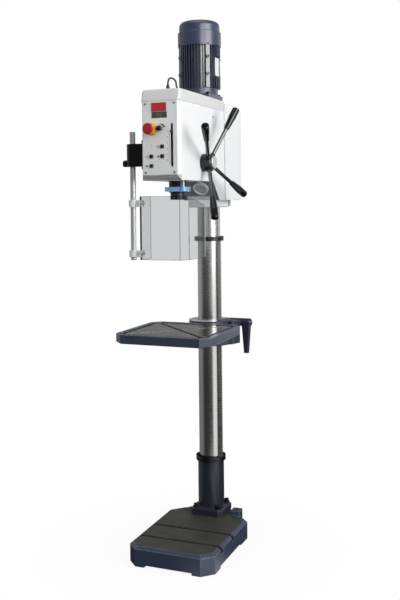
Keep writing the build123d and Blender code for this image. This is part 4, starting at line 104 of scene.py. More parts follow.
@dataclass(frozen=True)
class Graph:
    """Nodes of a material or of the world, with the steps that several of them share."""

    tree: bpy.types.NodeTree

    @property
    def shader(self) -> bpy.types.Node:
        """The material's surface shader."""
        return self.tree.nodes["Principled BSDF"]

    def fed(self, name: str) -> Socket:
        """What feeds an input of the shader so far."""
        return self.shader.inputs[name].links[0].from_socket

    def feed(self, node: bpy.types.Node, inputs: Inputs) -> None:
        """Sets inputs of a node, or links those that come from another node.

        Args:
            node: what is fed.
            inputs: socket to value or to another node's output.
        """
        for socket, value in inputs.items():
            if isinstance(value, Socket):
                self.tree.links.new(value, node.inputs[socket])
            else:
                node.inputs[socket].default_value = value

    def add_node(self, kind: str, inputs: Inputs, out: str | int = 0, **settings: Any) -> Socket:
        """Adds one shader node.

        Args:
            kind: Blender's name of the node.
            inputs: socket to value or to another node's output.
            out: the output that is wanted.
            settings: attributes of the node itself.

        Returns:
            That output.
        """
        node = self.tree.nodes.new(kind)
        for name, value in settings.items():
            setattr(node, name, value)
        self.feed(node, inputs)
        return node.outputs[out]

    def place(self, out: str = "Object") -> Socket:
        """Where a point lies on its piece or, for Normal, which way its surface faces."""
        return self.add_node("ShaderNodeTexCoord", {}, out)

    def rays(self) -> list[Socket]:
        """One each if the ray that looks comes from the camera, off gloss or through a clear solid."""
        kinds = ("Camera", "Glossy", "Transmission")
        return [self.add_node("ShaderNodeLightPath", {}, f"Is {kind} Ray") for kind in kinds]

    def axis(self, vector: Socket, name: str) -> Socket:
        """A vector's X, Y or Z."""
        return self.add_node("ShaderNodeSeparateXYZ", {0: vector}, name)

    def maths(self, operation: str, *values: Any) -> Socket:
        """One step of arithmetic on numbers."""
        return self.add_node("ShaderNodeMath", dict(enumerate(values)), operation=operation)

    def most(self, *values: Any) -> Socket:
        """The greatest of some numbers."""
        return reduce(partial(self.maths, "MAXIMUM"), values)

    def times(self, *values: Any) -> Socket:
        """The product of some numbers."""
        return reduce(partial(self.maths, "MULTIPLY"), values)

    def vectors(self, operation: str, *values: Any) -> Socket:
        """One step of arithmetic on vectors."""
        out = "Value" if operation in ("DOT_PRODUCT", "LENGTH", "DISTANCE") else "Vector"
        return self.add_node("ShaderNodeVectorMath", dict(enumerate(values)), out, operation=operation)

    def remap(self, value: Socket, span: Point, to: Point = (0.0, 1.0), smooth: bool = False) -> Socket:
        """Carries values from one span over to another, evenly or with soft ends."""
        return self.add_node("ShaderNodeMapRange", {
            "Value": value, "From Min": span[0], "From Max": span[1], "To Min": to[0], "To Max": to[1]},
            interpolation_type="SMOOTHSTEP" if smooth else "LINEAR")

    def mix(self, share: Socket, first: Any, second: Any) -> Socket:
        """Blends two colours."""
        return self.add_node("ShaderNodeMix", {0: share, 6: first, 7: second}, 2, data_type="RGBA")

    def noise(self, size_mm: float, detail: float, stretch: Spot = (1, 1, 1), rough: float = 0.5) -> Socket:
        """Cloudy pattern that changes at some rate along X, Y and Z, with finer layers of some strength."""
        spot = self.add_node("ShaderNodeMapping", {"Vector": self.place(), "Scale": stretch})
        return self.add_node("ShaderNodeTexNoise", {
            "Vector": spot, "Scale": 1 / (size_mm * MM), "Detail": detail, "Roughness": rough}, "Fac")

    def bevel(self, edge_mm: float, samples: int = 4) -> Socket:
        """Normal that is rounded along edges."""
        return self.add_node("ShaderNodeBevel", {"Radius": edge_mm * MM}, samples=samples)

    def edge(self, soft: Socket, span: Point, share: float) -> Socket:
        """Nothing on flat faces, and a share along edges, where the rounded normal turns away."""
        flat = self.add_node("ShaderNodeNewGeometry", {}, "Normal")
        return self.remap(self.vectors("DOT_PRODUCT", soft, flat), span, (0.0, share))

    def faces(self, way: Socket, to: Vector, cosines: Point, share: float = 1.0) -> Socket:
        """Tells how far a direction faces another one, from nothing to a share between two cosines."""
        return self.remap(self.vectors("DOT_PRODUCT", way, tuple(to)), cosines, (0.0, share), True)


@dataclass(frozen=True)
class Finish:
    """One surface: its real material, colour, gloss and grain, and the record's slot for pieces in it."""

    name: str
    colour: str
    slot: str = ""
    roughness: float = 0.5
    metallic: float = 0.0
    grain_mm: float = 2.5
    relief_mm: float = 0.02
    patch_mm: float = 90.0
    spread: float = 0.06
    edge_mm: float = 0.8
    specular: float = 0.5

    def material(self) -> bpy.types.Material:
        """Makes the material the first time, and finds it after that.

        Returns:
            The one material of this finish.
        """
        made = bpy.data.materials.get(self.name)
        if made is None:
            made = bpy.data.materials.new(self.name)
            made.use_nodes = True
            graph = Graph(made.node_tree)
            graph.feed(graph.shader, {"Base Color": linear(self.colour), "Metallic": self.metallic,
                                      "Roughness": self.roughness, "Specular IOR Level": self.specular})
            self.dress(graph)
        return made

    def swing(self, reach: float) -> Point:
        """Span of roughness about the finish's own."""
        return (self.roughness - reach, self.roughness + reach)

    def dress(self, graph: Graph) -> None:
        """Gives the surface a fine grain, slow tone changes and softened edges.

        Args:
            graph: the material's nodes.
        """
        patch = graph.noise(self.patch_mm, 5.0)
        dark, pale = (linear(self.colour, 1 + side * self.spread) for side in (-1, 1))
        graph.feed(graph.shader, {
            "Base Color": graph.mix(patch, dark, pale),
            "Roughness": graph.remap(patch, NOISE_SPAN, self.swing(0.04)),
            "Normal": graph.add_node("ShaderNodeBump", {
                "Height": graph.noise(self.grain_mm, 3.0), "Distance": self.relief_mm * MM,
                "Normal": graph.bevel(self.edge_mm)})})


@dataclass(frozen=True)
class Paint(Finish):
    """Sprayed coat with orange peel, paler along its edges: rubbed paint, and on base and table also painted
    highlight.
    """

    roughness: float = 0.3
    grain_mm: float = 3.0
    wear: str = "#8a8f98"
    wear_share: float = 0.6
    chip_mm: float = 18.0

    def dress(self, graph: Graph) -> None:
        """Adds pale edges to the plain coat: rubbed paint, and where strong, painted highlight.

        Args:
            graph: the material's nodes.
        """
        super().dress(graph)
        # Pale edges: rubbed paint, and on base and table mostly painted highlight.
        edge = graph.edge(graph.bevel(self.edge_mm), WORN_AND_LIT_EDGE, self.wear_share)
        worn_and_lit = graph.times(edge, graph.noise(self.chip_mm, 6.0))
        graph.feed(graph.shader, {"Base Color": graph.mix(worn_and_lit, graph.fed("Base Color"), linear(self.wear))})


@dataclass(frozen=True)
class BareBox:
    """Box of a casting, in millimetres, that was cut and left bare, or only its faces that look up; on the
    shell it marks a band of painted shade.
    """

    low: Spot
    high: Spot
    top_only: bool = False

    def mask(self, graph: Graph) -> Socket:
        """Marks the bare surface.

        Args:
            graph: the material's nodes.

        Returns:
            One where it is bare, and nothing elsewhere.
        """
        middle = [(a + b) / 2 * MM for a, b in zip(self.low, self.high)]
        half = [(b - a) / 2 * MM for a, b in zip(self.low, self.high)]
        away = graph.vectors("SUBTRACT", graph.place(), middle)
        share = graph.vectors("ABSOLUTE", graph.vectors("DIVIDE", away, half))
        inside = graph.maths("LESS_THAN", graph.most(*(graph.axis(share, name) for name in "XYZ")), 1.0)
        if not self.top_only:
            return inside
        return graph.times(inside, graph.maths("GREATER_THAN", graph.axis(graph.place("Normal"), "Z"), 0.9))


@dataclass(frozen=True)
class MachinedCasting(Paint):
    """Coated piece with boxes in it: cut iron with fine mill lines and an oily, uneven tone; on the shell's
    lip, painted shade.
    """

    relief_mm: float = 0.035
    bare: tuple[BareBox, ...] = ()
    # Tone in the boxes: cut iron on castings; on the shell's lip, a grey of painted shade.
    iron: str = "#6d6d69"
    iron_metal: float = 0.0
    iron_gloss: float = 0.5
    line_mm: float = 2.2
    stain_mm: float = 60.0
    stain_span: Point = (0.12, 0.42)
    stain_tones: Point = (0.72, 1.3)

    def dress(self, graph: Graph) -> None:
        """Lays the box tone over the paint inside the boxes: cut iron on castings, painted shade on the
        shell's lip.

        Args:
            graph: the material's nodes.
        """
        super().dress(graph)
        mask = graph.most(*(box.mask(graph) for box in self.bare))
        lines = graph.noise(self.line_mm, 4.0, Cut.ALONG_X.value)
        stained = graph.times(lines, graph.noise(self.stain_mm, 6.0, rough=0.6))
        dark, pale = (linear(self.iron, tone) for tone in self.stain_tones)
        metal = graph.mix(graph.remap(stained, self.stain_span), dark, pale)
        gloss = {0: mask, 2: graph.fed("Roughness"), 3: self.iron_gloss}
        graph.feed(graph.shader, {
            "Base Color": graph.mix(mask, graph.fed("Base Color"), metal),
            "Roughness": graph.add_node("ShaderNodeMix", gloss, data_type="FLOAT"),
            "Metallic": graph.times(mask, self.iron_metal)})


@dataclass(frozen=True)
class CutMetal(Finish):
    """Bare metal with the lines of the wheel or tool that cut it."""

    roughness: float = 0.3
    metallic: float = 1.0
    relief_mm: float = 0.0
    edge_mm: float = 0.5
    cut: Cut = Cut.AROUND_Z
    line_mm: float = 0.8
    depth: float = 0.16

    def dress(self, graph: Graph) -> None:
        """Draws the tool's lines in tone and gloss.

        Args:
            graph: the material's nodes.
        """
        super().dress(graph)
        lines = graph.noise(self.line_mm, 4.0, self.cut.value)
        dark = graph.remap(lines, NOISE_SPAN, (self.depth, 0.0))
        graph.feed(graph.shader, {
            "Base Color": graph.mix(dark, graph.fed("Base Color"), linear(BLACK)),
            "Roughness": graph.remap(lines, NOISE_SPAN, self.swing(0.06))})


@dataclass(frozen=True)
class ClearSheet(Finish):
    """See-through sheet or lens: bright faces, faint haze, and dark lines of painted refraction along its
    edges and bends.
    """

    index: float = 1.585
    haze_mm: float = 14.0
    haze: float = 0.06
    haze_span: Point = (0.35, 0.75)
    # Tone and strength of the dark lines of painted refraction along edges and bends.
    line: str = "#4c4f53"
    line_share: float = 0.9
    side: str = ""
    # Lighter tone of the far wing: painted light.
    far_side: str = ""
    clear: float = 1.0

    def dress(self, graph: Graph) -> None:
        """Makes the solid clear: handling haze in its gloss, tones of their own on its sides with the far one
        lightened as painted light, and painted refraction lines.

        Args:
            graph: the material's nodes.
        """
        hazed = (self.roughness, self.roughness + self.haze)
        turned = graph.maths("ABSOLUTE", graph.axis(graph.place("Normal"), "Y"))
        left = graph.maths("LESS_THAN", graph.axis(graph.place(), "X"), 0.0)
        side = self.side or self.colour
        # Painted light: the wing on the negative X side takes the far wing's lighter tone.
        wings_with_painted_light = graph.mix(left, linear(side), linear(self.far_side or side))
        pane = graph.mix(graph.remap(turned, (0.5, 0.8)), wings_with_painted_light, linear(self.colour))
        # Painted refraction: dark lines along edges and bends stand in for the dark room seen through the
        # sheet.
        edge = graph.edge(graph.bevel(self.edge_mm, 8), DARK_REFRACTION_EDGE, self.line_share)
        graph.feed(graph.shader, {
            "Base Color": graph.mix(edge, pane, linear(self.line)),
            "Roughness": graph.remap(graph.noise(self.haze_mm, 4.0), self.haze_span, hazed),
            "Transmission Weight": self.clear, "IOR": self.index})


# Navy enamel: satin on sheet, darker on the die casting, thick on the socket.
NAVY_SHEET = Paint("navy_enamel_on_sheet", "#3a4158", roughness=0.27, grain_mm=2.0, relief_mm=0.012,
                   specular=0.7, wear="#7a8196")
NAVY_DIECAST = Paint("navy_enamel_on_diecast", "#343b50", roughness=0.2, grain_mm=2.4, specular=1.0,
                     wear="#697086")
SOCKET_ENAMEL = Paint("dark_enamel_on_iron", "#262b36", "blue_casting", relief_mm=0.03, edge_mm=2.0,
                      wear="#454a57")
# Base: enamel sides under a milled top, oiled dark against rust.
# Its pale edges are part rubbed paint, part painted highlight.
BASE_CASTING = MachinedCasting(
    "navy_enamel_and_milled_base", "#3b465d", edge_mm=5.0, wear="#aab0c0", wear_share=1.1,
    iron="#4a4b44", iron_metal=0.3, bare=(
        BareBox((-200, -500, 71), (200, 100, 93), True), BareBox((-200, -340.3, 49.5), (200, -315.7, 71.9)),
        BareBox((-200, -222.3, 49.5), (200, -197.7, 71.9))))
# Table: enamel rim round a milled plate, wiped bright by use.
# The rim's pale edges are part rubbed paint, part painted highlight.
TABLE_CASTING = MachinedCasting(
    "navy_enamel_and_milled_table", "#3a4256", edge_mm=3.5, wear="#b0b6c4", wear_share=1.2, iron="#787875",
    iron_metal=0.9, iron_gloss=0.2, bare=(BareBox((-149.9, -448.9, 819), (149.9, -161.1, 840)),))
# Bracket: enamel but for its collar's faced top, made pale as a painted reflection of the white wall.
BRACKET_CASTING = MachinedCasting(
    "navy_enamel_and_faced_bracket", "#333b4e", edge_mm=2.0, wear="#5d6478", iron="#dcdedd", iron_metal=0.3,
    iron_gloss=0.35, bare=(BareBox((-84, -84, 837), (46, 84, 839), True),))
# Head casting: flat coarse primer, and a cut strip above the collar.
GREY_CASTING = MachinedCasting(
    "dark_primer_on_iron", "#85888c", roughness=0.6, grain_mm=2.2, relief_mm=0.06, edge_mm=1.5,
    wear="#a0a2a5", iron="#e4e6e7", iron_metal=0.15, bare=(BareBox((-59, -90, 1309), (59, -68, 1325)),))
# Ground column with fine lines round it, and its milled rack.
GROUND_STEEL = CutMetal("centreless_ground_steel", "#b6b6b4", roughness=0.23, depth=0.05, spread=0.04,
                        edge_mm=0.6)
RACK_STEEL = CutMetal("milled_rack_steel", "#b9b9b8", line_mm=0.9, edge_mm=0.3)
# Turned shafts, and oily blackened steel of rings, screws and spindle.
TURNED_STEEL = CutMetal("turned_steel", "#b0b0ae", "bright_steel")
BLACK_STEEL = CutMetal("oil_blackened_steel", "#3c3d3f", "dark_steel", roughness=0.38, edge_mm=0.6)
# Hub's cap: turned face that catches light in rings.
POLISHED_ALLOY = CutMetal("polished_aluminium", "#c8ccd4", cut=Cut.AROUND_X, line_mm=0.7, edge_mm=0.6)
# Sand-cast collar under the head: mottled and dull.
CAST_ALLOY = Finish("sand_cast_aluminium", "#f0f2f4", metallic=0.1, grain_mm=3.5, relief_mm=0.12,
                    patch_mm=14, spread=0.25, edge_mm=1.5)
# Satin chrome ring of the lamp.
CHROME = CutMetal("satin_chrome_plate", "#eceeef", roughness=0.28, metallic=0.25, line_mm=3.0, depth=0.05,
                  edge_mm=0.8)
# White powder coat, with painted shade: greyer on the lid, a grey band on the shell's lip under the panel.
POWDER = {"roughness": 0.5, "grain_mm": 1.6, "relief_mm": 0.014, "patch_mm": 200, "spread": 0.015,
          "edge_mm": 2.4, "wear": "#f7f7f5", "wear_share": 0.3}
WHITE_COAT = Paint("white_powder_coat", "#f4f6f7", **POWDER)
LID_COAT_PAINTED_SHADE = replace(WHITE_COAT, name="white_powder_coat_lid", colour="#dedfde", wear="#f7f8f8")
# Its box is a grey band of painted shade on the lip, not bare metal.
SHELL_COAT_WITH_PAINTED_SHADE = MachinedCasting("white_powder_coat_shell", "#f4f6f7", iron="#c2c4c6", bare=(
    BareBox((-74.6, -470, 1370), (74.6, -410, 1399.5)),), **POWDER)
# Matt printed film of the panel, and screen inks.
PANEL_FILM = Finish("printed_polyester_film", "#eef3f2", grain_mm=0.9, relief_mm=0.006, patch_mm=120,
                    spread=0.02, edge_mm=0.4)
PRINT_INK = Finish("screen_ink", "#2b2f33", "black_plastic", roughness=0.55, grain_mm=0.8, relief_mm=0.004,
                   spread=0.05, edge_mm=0.1)
WHITE_INK = Finish("white_screen_ink", "#e9eae6", "white_cover", grain_mm=0.8, relief_mm=0.004, spread=0.03,
                   edge_mm=0.1)
# Red enamelled plate, left plain.
RED_ENAMEL = Paint("red_enamel_plate", "#c3272f", "estop_red", grain_mm=1.5, relief_mm=0.006, edge_mm=0.4,
                   wear="#d65a5c", wear_share=0.3)
# Gloss enamel: black on the hub, near the castings' navy on the clamp lever.
BLACK_ENAMEL = Paint("black_gloss_enamel", "#0d0e11", "black_paint", roughness=0.15, grain_mm=4.0,
                     relief_mm=0.012, edge_mm=1.2, wear="#3b3d42", wear_share=0.25)
CLAMP_ENAMEL = Paint("navy_black_gloss_enamel", "#2c2f46", "black_paint", roughness=0.22, edge_mm=1.6,
                     wear="#6a6d80", wear_share=0.5)
# Levers: polished blackened rod that mirrors the room in dark streaks.
POLISHED_BLACK = CutMetal("polished_blackened_steel", "#686a6e", roughness=0.1, cut=Cut.ALONG_Z, line_mm=1.4,
                          depth=0.1)
# Hard black phenolic resin of grips, knobs and buttons.
PHENOLIC = Finish("moulded_phenolic", "#090a0b", "black_plastic", roughness=0.12, grain_mm=1.6,
                  relief_mm=0.006, spread=0.12, edge_mm=0.7)
# Tinted acrylic over the speed readout, and its lit segments.
DISPLAY_ACRYLIC = Finish("tinted_acrylic_window", "#4a5148", roughness=0.12, grain_mm=6.0, relief_mm=0.002,
                         edge_mm=0.3)
SEGMENT = Finish("readout_segments", "#6f7a5c", "display_window", roughness=0.4, grain_mm=0.7,
                 relief_mm=0.002, edge_mm=0.1)
# ABS of the stop switch: a red cap over a yellow skirt.
ABS = {"grain_mm": 1.2, "relief_mm": 0.006, "spread": 0.04}
RED_ABS = Finish("red_abs", "#b8141c", "estop_red", roughness=0.3, **ABS)
YELLOW_ABS = Finish("yellow_abs", "#e6a312", roughness=0.34, **ABS)
STOP_ABS = MachinedCasting("red_and_yellow_abs", "#b8141c", wear_share=0.0, iron="#e6a312", iron_gloss=0.34,
                           bare=(BareBox((-60, -484, 1530), (-5, -450, 1590)),), **ABS)
# Depth collar: clear blue anodising over turned aluminium.
BLUE_ANODISED = CutMetal("blue_anodised_aluminium", "#8fbdf2", roughness=0.36, metallic=0.2, edge_mm=0.8)
# Guard's drawn post, and a rating plate anodised almost white.
SATIN_ALLOY = CutMetal("drawn_satin_aluminium", "#bfc1c3", "bright_alloy", roughness=0.34, metallic=0.45,
                       cut=Cut.ALONG_Z, depth=0.1)
PLATE_ALLOY = CutMetal("clear_anodised_aluminium", "#f4f5f6", "bright_alloy", roughness=0.35, metallic=0.3,
                       cut=Cut.ALONG_Y, line_mm=0.9, depth=0.06, edge_mm=0.3)
# Sintered bronze bushes, and the copper and iron inside the motor.
BRONZE = CutMetal("sintered_bronze", "#a8834b", roughness=0.4, line_mm=0.9, relief_mm=0.02, edge_mm=0.4)
STATOR_CORE = CutMetal("stacked_lamination_steel", "#6a4c3a", roughness=0.55, line_mm=1.0, depth=0.35,
                       relief_mm=0.02, edge_mm=0.4)
# Dull sheath of the motor's lead.
RUBBER = Finish("pvc_sheath", "#1d1e20", "cable_rubber", roughness=0.55, grain_mm=0.9, spread=0.1,
                edge_mm=0.3)
# Nylon of fan and glands, black but for pale grey under the head.
MOULDED = {"roughness": 0.45, "grain_mm": 1.0, "relief_mm": 0.015, "edge_mm": 0.6}
NYLON = Finish("moulded_nylon", "#202225", spread=0.1, **MOULDED)
GLAND_NYLON = MachinedCasting("moulded_nylon_glands", "#202225", wear_share=0.0, iron="#d2d4d4",
                              iron_gloss=0.45, bare=(BareBox((0, 110, 1200), (70, 190, 1400)),), **MOULDED)
# Guard: clear wings, a smoke-grey pane, dark lines of painted refraction at edges and bends, and milky sawn
# clips.
# The far, left wing is lightened as painted light.
POLYCARBONATE = ClearSheet("clear_polycarbonate", "#cbccce", roughness=0.02, index=1.12, edge_mm=4.2,
                           line="#33363a", side="#cbcdcf", far_side="#eef0f1")
CLIP_BLOCK = Finish("sawn_polycarbonate_block", "#e6e8ea", roughness=0.4, grain_mm=0.8, edge_mm=1.2)
# Frosted glass of the lamp, and the diodes behind it.
LAMP_GLASS = ClearSheet("frosted_glass", "#dfe3e3", roughness=0.2, index=1.45, line_share=0.0, clear=0.4)
LED_RESIN = Finish("led_resin", "#f3efcf", "lamp_glass", roughness=0.25, grain_mm=0.8, relief_mm=0.004,
                   edge_mm=0.2)


def dress(finishes: dict[Finish, str]) -> None:
    """Gives solids of the frame their finish.

    Args:
        finishes: finish to the names of its nodes.
    """
    for finish, names in finishes.items():
        for node in names.split():
            for material_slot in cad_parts[node].material_slots:
                material_slot.material = finish.material()
            LOG.info("dressed %s in %s", node, finish.name)


def add_object(name: str, data: bpy.types.ID) -> bpy.types.Object:
    """Puts a new object in the scene.

    Args:
        name: its name.
        data: its mesh, curve, light or camera.

    Returns:
        The object.
    """
    made = bpy.data.objects.new(name, data)
    bpy.context.scene.collection.objects.link(made)
    return made


def place_at(origin: Sequence[float], z_dir: Vector, x_dir: Vector = X_AXIS) -> Matrix:
    """Frame of a small piece.

    Args:
        origin: where it sits, in millimetres.
        z_dir: direction in which it stands.
        x_dir: direction of its own x.

    Returns:
        Matrix from the piece's millimetres to the machine's.
    """
    z_unit = z_dir.normalized()
    y_unit = z_unit.cross(x_dir).normalized()
    turn = Matrix((y_unit.cross(z_unit), y_unit, z_unit)).transposed().to_4x4()
    return Matrix.Translation(Vector(origin)) @ turn


def arc(radius: float, angles: Iterable[float]) -> list[Point]:
    """Points round the middle at some angles in degrees."""
    turns = [math.radians(angle) for angle in angles]
    return [(radius * math.cos(turn), radius * math.sin(turn)) for turn in turns]


def circle(radius: float, steps: int = 32) -> list[Point]:
    """Points of a circle, or of a regular polygon when the steps are few."""
    return arc(radius, [360 * step / steps for step in range(steps)])


def ways(angles: Iterable[float]) -> list[Vector]:
    """Level directions at some angles in degrees."""
    return [Vector((x, y, 0)) for x, y in arc(1.0, angles)]


def corners(half_x: float, half_y: float) -> list[Point]:
    """Corners of a rectangle about its middle."""
    return [(x, y) for x in (-half_x, half_x) for y in (-half_y, half_y)]


def rounded(width: float, height: float, corner: float, steps: int = 5) -> list[Point]:
    """Outline of a rectangle with round corners, about its middle.

    Args:
        width: size along x.
        height: size along y.
        corner: radius of the corners.
        steps: points on each corner.

    Returns:
        Points in order, anticlockwise.
    """
    outline = []
    for quarter, (sx, sy) in enumerate(((1, 1), (-1, 1), (-1, -1), (1, -1))):
        turns = arc(corner, [90 * (quarter + step / (steps - 1)) for step in range(steps)])
        outline += [(sx * (width / 2 - corner) + x, sy * (height / 2 - corner) + y) for x, y in turns]
    return outline


class Shape:
    """A mesh being made, in millimetres of the machine."""

    def __init__(self) -> None:
        """Starts with nothing."""
        self.mesh = bmesh.new()

    def ring(self, place: Matrix, points: Sequence[Point], height: float) -> list[bmesh.types.BMVert]:
        """Adds points at one height of a place."""
        return [self.mesh.verts.new(place @ Vector((x, y, height))) for x, y in points]

    def band(self, low: list[bmesh.types.BMVert], high: list[bmesh.types.BMVert]) -> None:
        """Joins two rings with faces.

        Args:
            low: points of the first ring, or its one tip.
            high: points of the second ring, or its one tip.
        """
        steps = max(len(low), len(high))
        for i in range(steps):
            j = (i + 1) % steps
            around = [low[i % len(low)], low[j % len(low)], high[j % len(high)], high[i % len(high)]]
            kept = list(dict.fromkeys(around))
            if len(kept) > 2:
                self.mesh.faces.new(kept)

    def lathe(self, place: Matrix, profile: Sequence[Point], steps: int = 32, loop: bool = False) -> "Shape":
        """Turns a profile round the place's own z.

        Args:
            place: frame of the turned form.
            profile: radius and height of each point.
            steps: how many facets round.
            loop: whether the last point joins the first.

        Returns:
            The shape itself.
        """
        rings = [self.ring(place, circle(radius, steps) if radius > 1e-6 else [(0.0, 0.0)], height)
                 for radius, height in profile]
        for low, high in zip(rings, rings[1:] + rings[:1] if loop else rings[1:]):
            self.band(low, high)
        return self

    def prism(self, place: Matrix, outline: Sequence[Point], height: float,
              hole: Sequence[Point] | None = None, low: float = 0.0) -> "Shape":
        """Stands an outline up along the place's own z.

        Args:
            place: frame of the form.
            outline: points of its edge.
            height: top of it.
            hole: points of an opening, as many as the outline has.
            low: bottom of it.

        Returns:
            The shape itself.
        """
        outer = [self.ring(place, outline, level) for level in (low, height)]
        self.band(*outer)
        if hole is None:
            for cap in outer:
                self.mesh.faces.new(cap)
            return self
        inner = [self.ring(place, hole, level) for level in (low, height)]
        self.band(*inner)
        for edge, opening in zip(outer, inner):
            self.band(edge, opening)
        return self

    def screw(self, spot: Sequence[float], way: Vector, radius: float, height: float) -> None:
        """Adds a round screw head with a socket, standing some way from the middle of its seat."""
        self.lathe(place_at(spot, way, Z_AXIS), [
            (0.0, -2 * SUNK), (radius, -2 * SUNK), (radius, height * 0.75), (radius * 0.86, height),
            (radius * 0.5, height), (radius * 0.5, height * 0.45), (0.0, height * 0.45)], 24)

    def words(self, place: Matrix, text: str, size: float, thick: float = 0.12) -> "Shape":
        """Stands generic numerals up from a face.

        Args:
            place: frame of the text's middle.
            text: what it says.
            size: height of the characters in millimetres.
            thick: how far they stand up.

        Returns:
            The shape itself.
        """
        curve = bpy.data.curves.new("numerals", "FONT")
        curve.body = text
        curve.size = size
        curve.align_x = "CENTER"
        curve.align_y = "CENTER"
        curve.extrude = thick
        holder = bpy.data.objects.new("numerals", curve)
        made = bpy.data.meshes.new_from_object(holder)
        made.transform(place)
        self.mesh.from_mesh(made)
        bpy.data.objects.remove(holder)
        bpy.data.curves.remove(curve)
        bpy.data.meshes.remove(made)
        return self

    def piece(self, name: str, finish: Finish, body: Body = Body.STAND,
              edge_mm: float = 0.0) -> bpy.types.Object:
        """Finishes the mesh as a piece that rides on a body.

        Args:
            name: the piece's name.
            finish: its surface.
            body: what it moves with.
            edge_mm: width of the rounding on its sharp edges.

        Returns:
            The new object.
        """
        bmesh.ops.recalc_face_normals(self.mesh, faces=self.mesh.faces)
        bmesh.ops.scale(self.mesh, vec=(MM, MM, MM), verts=self.mesh.verts)
        data = bpy.data.meshes.new(name)
        self.mesh.to_mesh(data)
        self.mesh.free()
        for face in data.polygons:
            face.use_smooth = True
        data.set_sharp_from_angle(angle=math.radians(35))
        made = add_object(name, data)
        if edge_mm > 0:
            rounding = made.modifiers.new("rounded_edges", "BEVEL")
            rounding.width = edge_mm * MM
            rounding.segments = 2
            rounding.limit_method = "ANGLE"
            rounding.angle_limit = math.radians(40)
        data.materials.append(finish.material())
        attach(made, body.value)
        LOG.info("made %s on %s", name, body.value)
        return made


@dataclass
class StandUnit:
    """Base, column socket, column, rack and rings; a screw's two sizes are its head's radius and height."""

    flange_top: float = 99.0
    bolt_half: float = 47.0
    washer: Points = ((9.05, -0.2), (11.8, -0.2), (11.8, 1.4), (11.4, 1.8), (9.05, 1.8))
    socket_r: float = 51.5
    fillet: float = 3.6
    ring_r: float = 59.0
    ring_levels: Point = (289.5, 1158.5)
    ring_angles: Point = (-52.0, 128.0)
    ring_screw: Point = (4.0, 1.6)

    def build(self) -> None:
        """Dresses the solids and adds washers, the cast fillet and the rings' screws."""
        dress({BASE_CASTING: "base_casting", SOCKET_ENAMEL: "column_socket", GROUND_STEEL: "column",
               RACK_STEEL: "column_rack", BLACK_STEEL: "machine_bolts rack_rings"})
        washers = Shape()
        for x, y in corners(self.bolt_half, self.bolt_half):
            washers.lathe(place_at((x, y, self.flange_top), Z_AXIS), self.washer, loop=True)
        washers.piece("socket_washers", BLACK_STEEL)
        self.socket_fillet()
        shape = Shape()
        for level in self.ring_levels:
            for way in ways(self.ring_angles):
                shape.screw(way * self.ring_r + Z_AXIS * level, way, *self.ring_screw)
        shape.piece("ring_screws", BLACK_STEEL)

    def socket_fillet(self) -> None:
        """Rounds the corner between the socket and its flange, as a casting has it."""
        foot, low = self.socket_r + self.fillet, self.flange_top - SUNK
        curve = arc(self.fillet, range(270, 179, -15))
        profile = [(self.socket_r - SUNK / 2, low), (foot, low)]
        profile += [(foot + x, self.flange_top + self.fillet + y) for x, y in curve]
        Shape().lathe(Matrix(), profile, 64, True).piece("socket_fillet", SOCKET_ENAMEL)


@dataclass
class TableUnit:
    """Table, its bracket, lift gear, crank and clamp."""

    clamp_face: Spot = (151.3, 64.0, 822.0)
    cap_r: float = 12.6
    cap_h: float = 4.2
    cap_sunk: float = 0.5

    def build(self) -> None:
        """Dresses the solids and adds the clamp's domed cap."""
        dress({BRACKET_CASTING: "table_bracket", TABLE_CASTING: "table", CLAMP_ENAMEL: "table_clamp",
               TURNED_STEEL: "lift_pinion", BLACK_STEEL: "worm_crank", PHENOLIC: "crank_grip"})
        dome = arc(1.0, [step * 90 / 7 for step in range(8)])
        profile = [(0.0, -self.cap_sunk), (self.cap_r, -self.cap_sunk)]
        profile += [(self.cap_r * x, self.cap_h * y) for x, y in dome]
        shape = Shape().lathe(place_at(self.clamp_face, X_AXIS, Z_AXIS), profile)
        shape.piece("clamp_cap", CLAMP_ENAMEL, Body.CLAMP)


